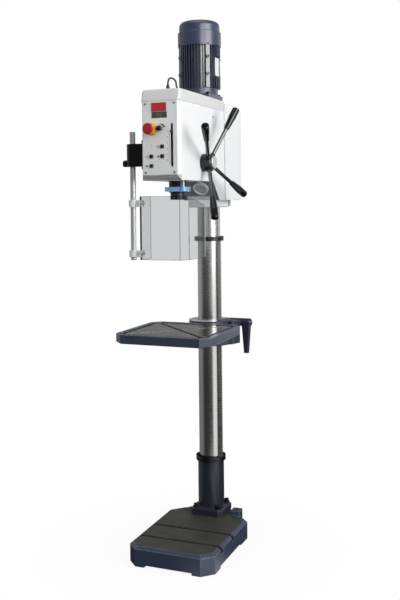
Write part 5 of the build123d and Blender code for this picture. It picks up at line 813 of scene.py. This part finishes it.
@dataclass
class HeadUnit:
    """Castings and white covers of the head, the gear train and the lamp."""

    side_screw: Spot = (75.0, -138.0, 1623.0)
    rear_y: float = 205.0
    rear_screws: Points = ((-28.0, 1345.0), (28.0, 1345.0), (-28.0, 1650.0), (28.0, 1650.0))
    screw: Point = (3.6, 1.8)
    seam_z: float = 1655.0
    seal: Points = ((-74, -16.5), (-74, -446), (-65, -454.9), (65, -454.9), (74, -446), (74, -16.5))
    seal_in: Points = ((-70.3, -16.5), (-70.3, -442), (-61.75, -450.9), (61.75, -450.9), (70.3, -442),
                       (70.3, -16.5))
    seal_top: float = 1.1
    lamp_middle: Spot = (15.0, -114.7, 1357.4)
    lamp_way: Spot = (0.0, -70.0, -66.0)
    led_ring: float = 13.0
    led_depth: float = 2.8
    led_profile: Points = ((0.0, 0.0), (2.6, 0.0), (2.6, 0.5), (1.8, 0.9), (0.0, 1.0))

    def build(self) -> None:
        """Dresses the solids and adds screws, the lid's seal and the lamp's diodes."""
        dress({GREY_CASTING: "head_casting gearcase_cover", CAST_ALLOY: "column_collar",
               TURNED_STEEL: "shaft_bearings first_layshaft second_layshaft drive_sleeve",
               SHELL_COAT_WITH_PAINTED_SHADE: "head_shell", LID_COAT_PAINTED_SHADE: "head_lid", WHITE_COAT: "rear_cover", CHROME: "work_lamp",
               LAMP_GLASS: "lamp_lens"})
        self.cover_screws()
        seam = place_at((0, 0, self.seam_z), Z_AXIS)
        seal = Shape().prism(seam, self.seal, self.seal_top, self.seal_in, -SUNK)
        seal.piece("lid_seal", RUBBER)
        self.lamp_diodes()

    def cover_screws(self) -> None:
        """Puts the dark screws on both sides of the shell and on the back of the rear cover."""
        shape = Shape()
        for side in (-1, 1):
            x, y, z = self.side_screw
            shape.screw((side * x, y, z), X_AXIS * side, *self.screw)
        for x, z in self.rear_screws:
            shape.screw((x, self.rear_y, z), Y_AXIS, *self.screw)
        shape.piece("cover_screws", BLACK_STEEL)

    def lamp_diodes(self) -> None:
        """Sets a ring of diodes behind the lamp's glass."""
        down = Vector(self.lamp_way).normalized()
        across = X_AXIS.cross(down)
        shape = Shape()
        for x, y in arc(self.led_ring, range(0, 360, 60)):
            spot = Vector(self.lamp_middle) + X_AXIS * x + across * y + down * self.led_depth
            shape.lathe(place_at(spot, down), self.led_profile, 16)
        shape.piece("lamp_diodes", LED_RESIN)


@dataclass
class PanelUnit:
    """Control panel with its switches, readout and depth scale; a spot's third value is how far out it is."""

    face_y: float = -456.0
    ink: float = 0.12
    plate_middle: Point = (-3.5, 1633.75)
    plate_size: Point = (57.0, 30.5)
    plate_corners: Point = (2.0, 1.2)
    plate_t: float = 1.2
    rim_t: float = 1.7
    rim_w: float = 1.2
    button_spots: Points = ((8.3, 1497.0), (-33.0, 1463.3), (8.3, 1463.3), (-33.0, 1430.0))
    bezel_sides: Point = (13.8, 12.4)
    bezel_corners: Point = (2.2, 1.8)
    bezel_t: float = 1.2
    sign_gap: float = 17.0
    sign_ring: Point = (4.2, 3.0)
    sign_bar: Point = (1.6, 8.0)
    sign_arrow: Point = (4.0, 3.6)
    dot_r: float = 1.3
    dots: Points = ((-33.0, 1493.5), (-33.0, 1502.5))
    scale_x: float = 39.0
    scale_top: float = 1549.0
    scale_length: int = 118
    mark: Spot = (4.0, 7.0, 0.5)
    number_gap: float = 11.5
    number_h: float = 5.2
    knob: Point = (0.0, 1560.0)
    wedge_r: Spot = (13.4, 15.4, 0.4)
    knob_line: Spot = (0.0, 1564.4, 13.0)
    line_size: Point = (1.2, 6.6)
    estop_face: Spot = (-32.0, 1558.0, 35.3)
    shaft_r: Point = (12.4, 10.6)
    head_r: Spot = (14.2, 11.5, 8.8)
    arrow_turns: tuple[int, int] = (64, 84)
    display: Spot = (-2.0, 1606.5, 0.3)
    readout_h: float = 15.0
    screw_spots: Points = ((-55.0, 1407.0), (55.0, 1407.0), (-55.0, 1646.0), (55.0, 1646.0))
    screw_h: float = 1.75
    slot_size: Point = (4.4, 0.9)

    def spot(self, x: float, z: float, out: float = 0.0) -> Matrix:
        """Frame on the panel's face, or some way out of it, standing towards the operator."""
        return place_at((x, self.face_y - out, z), -Y_AXIS)

    def build(self) -> None:
        """Dresses the solids and adds plate, prints, bezels and marks."""
        dress({PANEL_FILM: "front_panel", TURNED_STEEL: "panel_screws", DISPLAY_ACRYLIC: "display",
               YELLOW_ABS: "estop_base", STOP_ABS: "estop_button", PHENOLIC: "speed_knob button_upper_right"
               " button_middle_left button_middle_right button_lower_left"})
        self.plate_and_bezels()
        self.signs()
        self.depth_scale()
        self.knob_marks()
        self.stop_arrows()
        digits = Shape().words(self.spot(*self.display), "350", self.readout_h, 0.08)
        digits.piece("readout_numerals", SEGMENT)
        self.screw_slots()

    def plate_and_bezels(self) -> None:
        """Fixes the plain red plate with its raised rim, and frames each push-button with a moulded one."""
        middle = self.spot(*self.plate_middle)
        outer, inner = (rounded(*(side - 2 * self.rim_w * i for side in self.plate_size), corner)
                        for i, corner in enumerate(self.plate_corners))
        plate = Shape().prism(middle, outer, self.plate_t, None, -SUNK / 2)
        plate.prism(middle, outer, self.rim_t, inner)
        plate.piece("bare_plate", RED_ENAMEL, edge_mm=0.2)
        bezels = Shape()
        outer, inner = (rounded(s, s, corner) for s, corner in zip(self.bezel_sides, self.bezel_corners))
        for x, z in self.button_spots:
            bezels.prism(self.spot(x, z), outer, self.bezel_t, inner, -SUNK / 2)
        bezels.piece("button_bezels", PHENOLIC, edge_mm=0.3)

    def signs(self) -> None:
        """Prints a plain sign left of each push-button, ring, bar and two arrows, and two dots."""
        ring, bar, left, right = [self.spot(x - self.sign_gap, z) for x, z in self.button_spots]
        outer, inner = (circle(radius, 24) for radius in self.sign_ring)
        shape = Shape().prism(ring, outer, self.ink, inner)
        shape.prism(bar, rounded(*self.sign_bar, 0.4), self.ink)
        long, high = self.sign_arrow
        for seat, x, y in ((left, long, high), (right, -long, -high)):
            shape.prism(seat, [(x, -y), (x, y), (-x, 0.0)], self.ink)
        for dot in self.dots:
            shape.prism(self.spot(*dot), circle(self.dot_r, 12), self.ink)
        shape.piece("button_signs", PRINT_INK)

    def depth_scale(self) -> None:
        """Prints the depth scale beside the slot: a mark each 2 mm and a number each 20 mm."""
        shape = Shape()
        short, long, wide = self.mark
        for depth in range(0, self.scale_length + 1, 2):
            level = self.scale_top - depth
            length = long if depth % 10 == 0 else short
            shape.prism(self.spot(self.scale_x - length / 2, level), rounded(length, wide, 0.1, 2), self.ink)
            if depth % 20 == 0:
                shape.words(self.spot(self.scale_x - self.number_gap, level), str(depth), self.number_h)
        shape.piece("depth_scale", PRINT_INK)

    def knob_marks(self) -> None:
        """Prints the wedge that grows round the speed knob, and the white line on the knob."""
        angles = [100 - 7.5 * step for step in range(13)]
        inner, start, growth = self.wedge_r
        outer = [arc(start + growth * step, [angle])[0] for step, angle in enumerate(angles)]
        wedge = Shape().prism(self.spot(*self.knob), outer[::-1] + arc(inner, angles), self.ink)
        wedge.piece("speed_wedge", PRINT_INK)
        line = Shape().prism(self.spot(*self.knob_line), rounded(*self.line_size, 0.3), 0.4)
        line.piece("knob_line", WHITE_INK, Body.SPEED)

    def stop_arrows(self) -> None:
        """Moulds three curved arrows on the stop button's face."""
        shape = Shape()
        outer, inner = self.shaft_r
        for start in (0, 120, 240):
            neck, tip = (start + turn for turn in self.arrow_turns)
            shaft = range(start, neck, 8)
            head = [arc(radius, [turn])[0] for radius, turn in zip(self.head_r, (neck, tip, neck))]
            outline = arc(outer, shaft) + head + arc(inner, shaft[::-1])
            shape.prism(self.spot(*self.estop_face), outline, 0.25, None, -SUNK)
        shape.piece("stop_arrows", RED_ABS, Body.ESTOP)

    def screw_slots(self) -> None:
        """Cuts the cross of each panel screw as dark inlays."""
        shape = Shape()
        for x, z in self.screw_spots:
            for turn in (45, 135):
                place = self.spot(x, z, self.screw_h) @ Matrix.Rotation(math.radians(turn), 4, "Z")
                shape.prism(place, rounded(*self.slot_size, 0.2, 2), self.ink)
        shape.piece("panel_screw_crosses", PRINT_INK)


@dataclass
class FeedUnit:
    """Quill, spindle, star handle and return spring."""

    hub: Spot = (97.0, -241.0, 1447.0)
    lever_tilt: float = 16.0
    lever_angles: tuple[float, ...] = (150.0, 60.0, -30.0, -120.0)
    nut_reach: float = 31.5
    nut_r: float = 10.0
    nut_span: Point = (-2.0, 6.0)
    case_middle: Spot = (-107.0, -241.0, 1447.0)
    case_ring: float = 34.0
    case_screw: Point = (4.0, 2.6)
    depth_spot: Spot = (47.0, -305.0, 1350.0)
    depth_screw: Point = (4.0, 4.0)

    def build(self) -> None:
        """Dresses the solids and adds lever nuts and the screws of spring case and depth collar."""
        dress({BLACK_STEEL: "quill spindle return_spring", BLUE_ANODISED: "depth_collar",
               TURNED_STEEL: "quill_bearings depth_pointer feed_shaft", BRONZE: "feed_bushes",
               BLACK_ENAMEL: "feed_hub", POLISHED_ALLOY: "hub_cap", POLISHED_BLACK: "feed_levers",
               PHENOLIC: "lever_grips", WHITE_COAT: "spring_housing"})
        self.lever_nuts()
        case = Shape()
        for y, z in arc(self.case_ring, (90, 210, 330)):
            case.screw(Vector(self.case_middle) + Vector((0, y, z)), -X_AXIS, *self.case_screw)
        case.piece("spring_case_screws", TURNED_STEEL)
        clamp = Shape()
        clamp.screw(self.depth_spot, X_AXIS, *self.depth_screw)
        clamp.piece("depth_collar_screw", TURNED_STEEL, Body.QUILL)

    def lever_nuts(self) -> None:
        """Locks each lever in the hub with a hexagon nut."""
        shape = Shape()
        low, high = self.nut_span
        tilt = math.radians(self.lever_tilt)
        for y, z in arc(math.cos(tilt), self.lever_angles):
            way = Vector((math.sin(tilt), y, z))
            seat = place_at(Vector(self.hub) + way * self.nut_reach, way)
            shape.prism(seat, circle(self.nut_r, 6), high, None, low)
        shape.piece("lever_nuts", BLACK_ENAMEL, Body.FEED, 0.7)


@dataclass
class MotorUnit:
    """Motor, its fan, the glands and the lead between head and motor."""

    axis_y: float = -79.0
    plate_spot: Spot = (70.5, -79.0, 1820.0)
    plate_half: Point = (19.0, 34.0)
    rivet_in: float = 3.0
    rivet: Points = ((0.0, -0.2), (1.6, -0.2), (1.4, 0.5), (0.8, 0.9), (0.0, 1.0))
    boss_r: float = 85.0
    boss_levels: Point = (1789.0, 1855.0)
    boss_screw: Point = (4.2, 2.4)
    hood_r: float = 83.0
    hood_level: float = 1902.5
    hood_screw: Point = (3.4, 2.0)
    ribs: int = 4
    rib_in: float = 1.5
    rib_pitch: float = 3.4
    rib_hole: float = 4.0
    rib_r: Point = (5.3, 0.65)
    lead_r: float = 3.2
    lead_length: float = 169.5
    lead_points: tuple[Spot, ...] = (
        (-37.0, -300.0, 1731.0), (-37.0, -300.0, 1760.0), (-36.0, -226.0, 1760.0),
        (-36.0, -226.0, 1724.0), (-36.0, -176.0, 1724.0))

    def build(self) -> None:
        """Dresses the solids and adds plate, screws, gland ribs and the lead."""
        dress({NAVY_SHEET: "motor_flange fan_cover", NAVY_DIECAST: "motor_housing", STATOR_CORE: "stator",
               TURNED_STEEL: "motor_rotor", NYLON: "motor_fan", GLAND_NYLON: "cable_glands"})
        self.rating_plate()
        self.screws()
        self.gland_ribs()
        self.lead()

    def rating_plate(self) -> None:
        """Rivets a blank plate to the motor's flat."""
        middle = place_at(self.plate_spot, X_AXIS, Y_AXIS)
        half_x, half_y = self.plate_half
        shape = Shape().prism(middle, rounded(2 * half_x, 2 * half_y, 2.5), 1.0, None, -SUNK / 2)
        for x, y in corners(half_x - self.rivet_in, half_y - self.rivet_in):
            shape.lathe(middle @ Matrix.Translation((x, y, 1.0)), self.rivet, 12)
        shape.piece("blank_rating_plate", PLATE_ALLOY, edge_mm=0.2)

    def screws(self) -> None:
        """Fits screws in the bosses of the ribs and round the fan cover's skirt."""
        shape = Shape()
        middle = Y_AXIS * self.axis_y
        for way in ways((45, 135, 225, 315)):
            for level in self.boss_levels:
                shape.screw(middle + way * self.boss_r + Z_AXIS * level, way, *self.boss_screw)
            shape.screw(middle + way * self.hood_r + Z_AXIS * self.hood_level, way, *self.hood_screw)
        shape.piece("motor_screws", BLACK_STEEL)

    def gland_ribs(self) -> None:
        """Adds the bend ribs of the two glands that the lead runs through."""
        shape = Shape()
        for end, way in ((self.lead_points[0], -Z_AXIS), (self.lead_points[-1], Y_AXIS)):
            for rib in range(self.ribs):
                seat = place_at(Vector(end) + way * (self.rib_in + self.rib_pitch * rib), way)
                r = self.rib_r[0] + self.rib_r[1] * rib
                profile = [(self.rib_hole, 0.0), (r, 0.3), (r + 0.3, 0.9), (r, 1.5), (self.rib_hole, 1.8)]
                shape.lathe(seat, profile, 28, True)
        shape.piece("gland_ribs", RUBBER)

    def lead(self) -> None:
        """Runs the lead from the head's gland to the motor's as one smooth tube."""
        curve = bpy.data.curves.new("motor_lead", "CURVE")
        curve.dimensions = "3D"
        curve.bevel_depth = self.lead_r * MM
        curve.bevel_resolution = 6
        curve.resolution_u = 24
        curve.use_fill_caps = True
        spline = curve.splines.new("NURBS")
        spline.points.add(len(self.lead_points) - 1)
        for knot, point in zip(spline.points, self.lead_points):
            knot.co = (*(v * MM for v in point), 1.0)
        spline.order_u = 3
        spline.use_endpoint_u = True
        curve.materials.append(RUBBER.material())
        made = add_object("motor_lead", curve)
        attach(made, Body.STAND.value)
        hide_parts("motor_cable")
        LOG.info("made motor_lead on stand")


@dataclass
class GuardUnit:
    """Clear guard on its post, with holder and clamp knob."""

    knob_spot: Spot = (-147.3, -415.0, 1442.0)
    knob_r: float = 12.5
    knob_span: Point = (2.0, 14.0)
    rim_steps: int = 56
    lobe: float = 1.3
    lobes: int = 7
    neck_r: float = 8.0
    stem_r: float = 4.0
    stem_l: float = 11.0
    shield_in: float = -88.0
    pad_ys: Point = (-424.0, -406.0)
    pad_levels: Point = (1121.0, 1300.0)
    pad_screw: Point = (3.6, 2.2)
    holder_x: float = -79.0
    holder_ys: Point = (-433.0, -397.0)
    holder_levels: Point = (1425.5, 1517.5)
    holder_screw: Point = (3.4, 2.4)

    def build(self) -> None:
        """Dresses the solids, lets light through the clear sheet, and adds the knob and the screws."""
        dress({PHENOLIC: "guard_holder", SATIN_ALLOY: "guard_rod", POLYCARBONATE: "guard_shield",
               CLIP_BLOCK: "guard_brackets"})
        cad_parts["guard_shield"].visible_shadow = False
        self.lobed_knob()
        sheet, holder = Shape(), Shape()
        for i in (0, 1):
            for j in (0, 1):
                sheet.screw((self.shield_in, self.pad_ys[j], self.pad_levels[i]), X_AXIS, *self.pad_screw)
                spot = (self.holder_x, self.holder_ys[j], self.holder_levels[i])
                holder.screw(spot, -X_AXIS, *self.holder_screw)
        sheet.piece("shield_screws", SATIN_ALLOY, Body.GUARD)
        holder.piece("holder_screws", TURNED_STEEL)

    def lobed_knob(self) -> None:
        """Makes the clamp knob with finger lobes in place of the plain round one."""
        place = place_at(self.knob_spot, -X_AXIS, Z_AXIS)
        rim = []
        for step in range(self.rim_steps):
            angle = 360 * step / self.rim_steps
            rise = self.lobe * math.cos(math.radians(self.lobes * angle))
            rim += arc(self.knob_r - self.lobe + rise, [angle])
        back, front = self.knob_span
        shape = Shape().prism(place, rim, front, None, back)
        for r, low, high, steps in ((self.neck_r, 0.0, 2.2, 32), (self.stem_r, -self.stem_l, 0.5, 24)):
            shape.lathe(place, [(0.0, low), (r, low), (r, high), (0.0, high)], steps)
        knob = shape.piece("clamp_knob_lobed", PHENOLIC, Body.GUARD_SCREW, 1.0)
        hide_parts("guard_knob")


@dataclass
class Studio:
    """Floor, soft lights and the camera at the photograph's viewing angle."""

    camera_mm: Spot = (1242.99, -3174.59, 1302.66)
    azimuth: float = 21.96
    pitch: float = 1.19
    roll: float = -0.58
    focal_px: float = 859.9
    frame_px: Point = (400.0, 600.0)
    centre_px: Point = (200.0, 220.0)
    floor_half: float = 4.5
    floor_tone: str = "#444444"
    floor_white: float = 0.92
    shadow_span: Point = (0.25, 0.7)
    open_span: Point = (0.5, 0.9)
    pool: Spot = (0.36, -0.52, 0.0)
    pool_span: Point = (0.4, 0.15)
    lit_power: Point = (1.0, 1.5)
    ambient: float = 0.36
    room_near: float = 0.12
    room_far: float = 0.27
    room_cosines: Point = (-0.6, 0.6)
    wall_cosines: Point = (0.86, 0.97)
    wall_rise: Point = (0.12, 0.02)
    side_glow: float = 0.28
    side_cosines: Point = (0.6, 0.95)
    flank_azimuth: float = 158.0
    flank_glow: float = 0.75
    flank_cosines: Point = (0.8, 0.95)
    flank_rise: Point = (0.3, 0.15)
    key_azimuth: float = 70.0
    key_reach: float = 3.13
    key_cosines: Point = (0.88, 0.965)
    key_glow: float = 1.1
    key_fall: float = 4.0

    def build(self) -> None:
        """Sets up floor, world, lights and camera."""
        bpy.context.scene.view_settings.view_transform = "Standard"
        self.floor()
        self.world()
        key = self.way(self.key_azimuth) * self.key_reach + Vector((0.0, -0.15, 2.2))
        self.light("key_softbox", tuple(key), (0.0, -0.15, 1.35), (1.9, 2.6), 90.0)
        self.light("fill_softbox", (-1.5, -3.2, 1.9), (0.0, -0.15, 1.1), (1.6, 2.2), 16.0, gloss=False)
        self.light("top_softbox", (0.1, -0.5, 3.7), (0.0, -0.2, 0.8), (1.6, 1.6), 12.0)
        self.light("motor_softbox", (1.85, -2.45, 2.55), (0.0, -0.1, 1.85), (1.0, 0.8), 17.0, diffuse=False)
        self.camera()

    def way(self, azimuth: float) -> Vector:
        """Level direction from the machine to where a camera of that azimuth would stand."""
        turn = math.radians(azimuth)
        return Vector((math.sin(turn), -math.cos(turn), 0.0))

    def floor(self) -> None:
        """Lays the floor: white to the eye but for the shadow near the base, and grey to gloss.

        Gloss sees it white behind the machine, in a strip under the key light and in a pool before the base,
        and pale on the far side.
        """
        mesh = bmesh.new()
        bmesh.ops.create_grid(mesh, x_segments=8, y_segments=8, size=self.floor_half)
        data = bpy.data.meshes.new("studio_floor")
        mesh.to_mesh(data)
        mesh.free()
        made = add_object("studio_floor", data)
        made.location.z = -0.0005
        paper = bpy.data.materials.new("white_paper_sweep")
        paper.use_nodes = True
        data.materials.append(paper)
        graph = Graph(paper.node_tree)
        eye, gloss, through = graph.rays()
        level = graph.vectors("NORMALIZE", graph.place())
        away = graph.vectors("LENGTH", graph.vectors("ADD", graph.place(), (0.0, 0.18, 0.0)))
        fade = graph.remap(away, self.shadow_span, (self.floor_white, 1.0), True)
        sector = graph.faces(level, self.way(self.key_azimuth), self.key_cosines)
        strip = graph.times(sector, graph.remap(away, self.open_span))
        near = graph.vectors("DISTANCE", graph.place(), self.pool)
        bright = graph.most(graph.remap(near, self.pool_span, smooth=True), strip)
        behind = graph.faces(level, -self.way(self.azimuth), self.wall_cosines)
        aside = graph.faces(level, -X_AXIS, self.side_cosines, self.side_glow)
        lit = graph.most(behind, aside, bright)
        boost = graph.times(bright, gloss)
        white = graph.add_node("ShaderNodeEmission", {
            "Color": linear(WHITE), "Strength": graph.remap(boost, (0.0, 1.0), self.lit_power)})
        shows = graph.most(eye, graph.times(lit, gloss), through)
        graph.feed(graph.shader, {
            "Base Color": graph.mix(eye, linear(self.floor_tone), linear(WHITE)),
            "Roughness": 0.9, "Specular IOR Level": 0.1})
        mixed = graph.add_node("ShaderNodeMixShader", {
            0: graph.times(fade, shows), 1: graph.shader.outputs["BSDF"], 2: white})
        graph.feed(paper.node_tree.nodes["Material Output"], {"Surface": mixed})

    def world(self) -> None:
        """Surrounds the machine with soft light: white to the eye, and for gloss a dim room.

        Gloss sees the low white sweep behind the machine, a screen behind its right, and glows beside the key
        light and on the far side.
        """
        sky = bpy.data.worlds.new("studio_room")
        bpy.context.scene.world = sky
        sky.use_nodes = True
        sky.node_tree.nodes.clear()
        graph = Graph(sky.node_tree)
        eye, gloss, through = graph.rays()
        seen_way = graph.place("Generated")
        height = graph.axis(seen_way, "Z")
        ahead = -self.way(self.azimuth)
        depth = graph.faces(seen_way, ahead, self.room_cosines, self.room_far - self.room_near)
        room = graph.maths("ADD", depth, self.room_near)
        wall = graph.faces(seen_way, ahead, self.wall_cosines)
        sweep = graph.times(wall, graph.remap(height, self.wall_rise))
        beside = graph.vectors("DOT_PRODUCT", seen_way, tuple(self.way(self.key_azimuth)))
        fall = graph.maths("POWER", graph.most(beside, 0.0), self.key_fall)
        aside = graph.faces(seen_way, -X_AXIS, self.side_cosines, self.side_glow)
        glows = graph.maths("ADD", graph.times(fall, self.key_glow), aside)
        flank = graph.faces(seen_way, self.way(self.flank_azimuth), self.flank_cosines, self.flank_glow)
        screen = graph.maths("MULTIPLY_ADD", flank, graph.remap(height, self.flank_rise), room)
        strength = graph.most(graph.maths("ADD", screen, glows), sweep, eye, through)
        soft, seen = (graph.add_node("ShaderNodeBackground", {"Color": linear(WHITE), "Strength": power})
                      for power in (self.ambient, strength))
        mixed = graph.add_node("ShaderNodeMixShader", {0: graph.most(eye, gloss, through), 1: soft, 2: seen})
        graph.feed(sky.node_tree.nodes.new("ShaderNodeOutputWorld"), {"Surface": mixed})

    def light(self, name: str, at: Spot, to: Spot, size: Point, power: float,
              gloss: bool = True, diffuse: bool = True) -> None:
        """Hangs one softbox.

        Args:
            name: the light's name.
            at: its place in metres.
            to: what it points at.
            size: width and height of its face.
            power: watts.
            gloss: whether it shows in gloss.
            diffuse: whether it lights dull surfaces.
        """
        data = bpy.data.lights.new(name, "AREA")
        data.shape = "RECTANGLE"
        data.size, data.size_y = size
        data.energy = power
        made = add_object(name, data)
        made.visible_camera = False
        made.visible_glossy = gloss
        made.visible_diffuse = diffuse
        made.location = at
        made.rotation_euler = (Vector(to) - Vector(at)).to_track_quat("-Z", "Y").to_euler()

    def camera(self) -> None:
        """Places the camera as the photograph's lines say."""
        turn, dip, lean = (math.radians(a) for a in (self.azimuth, self.pitch, self.roll))
        ahead = -self.way(self.azimuth) * math.cos(dip) - Z_AXIS * math.sin(dip)
        right = Vector((math.cos(turn), math.sin(turn), 0))
        up = right.cross(ahead)
        x_dir = right * math.cos(lean) + up * math.sin(lean)
        y_dir = up * math.cos(lean) - right * math.sin(lean)
        data = bpy.data.cameras.new("photo_camera")
        longer = max(self.frame_px)
        data.sensor_fit = "AUTO"
        data.sensor_width = 36.0
        data.lens = self.focal_px / longer * data.sensor_width
        data.shift_x = (self.frame_px[0] / 2 - self.centre_px[0]) / longer
        data.shift_y = (self.centre_px[1] - self.frame_px[1] / 2) / longer
        made = add_object("photo_camera", data)
        axes = Matrix((x_dir, y_dir, -ahead)).transposed().to_4x4()
        made.matrix_world = Matrix.Translation(Vector(self.camera_mm) * MM) @ axes
        bpy.context.scene.camera = made


def main() -> None:
    """Builds every unit in order, then the studio."""
    logging.basicConfig(level=logging.INFO, format="%(message)s")
    for kind in (StandUnit, TableUnit, HeadUnit, PanelUnit, FeedUnit, MotorUnit, GuardUnit, Studio):
        LOG.info("building %s", kind.__name__)
        kind().build()


if __name__ == "__main__":
    main()
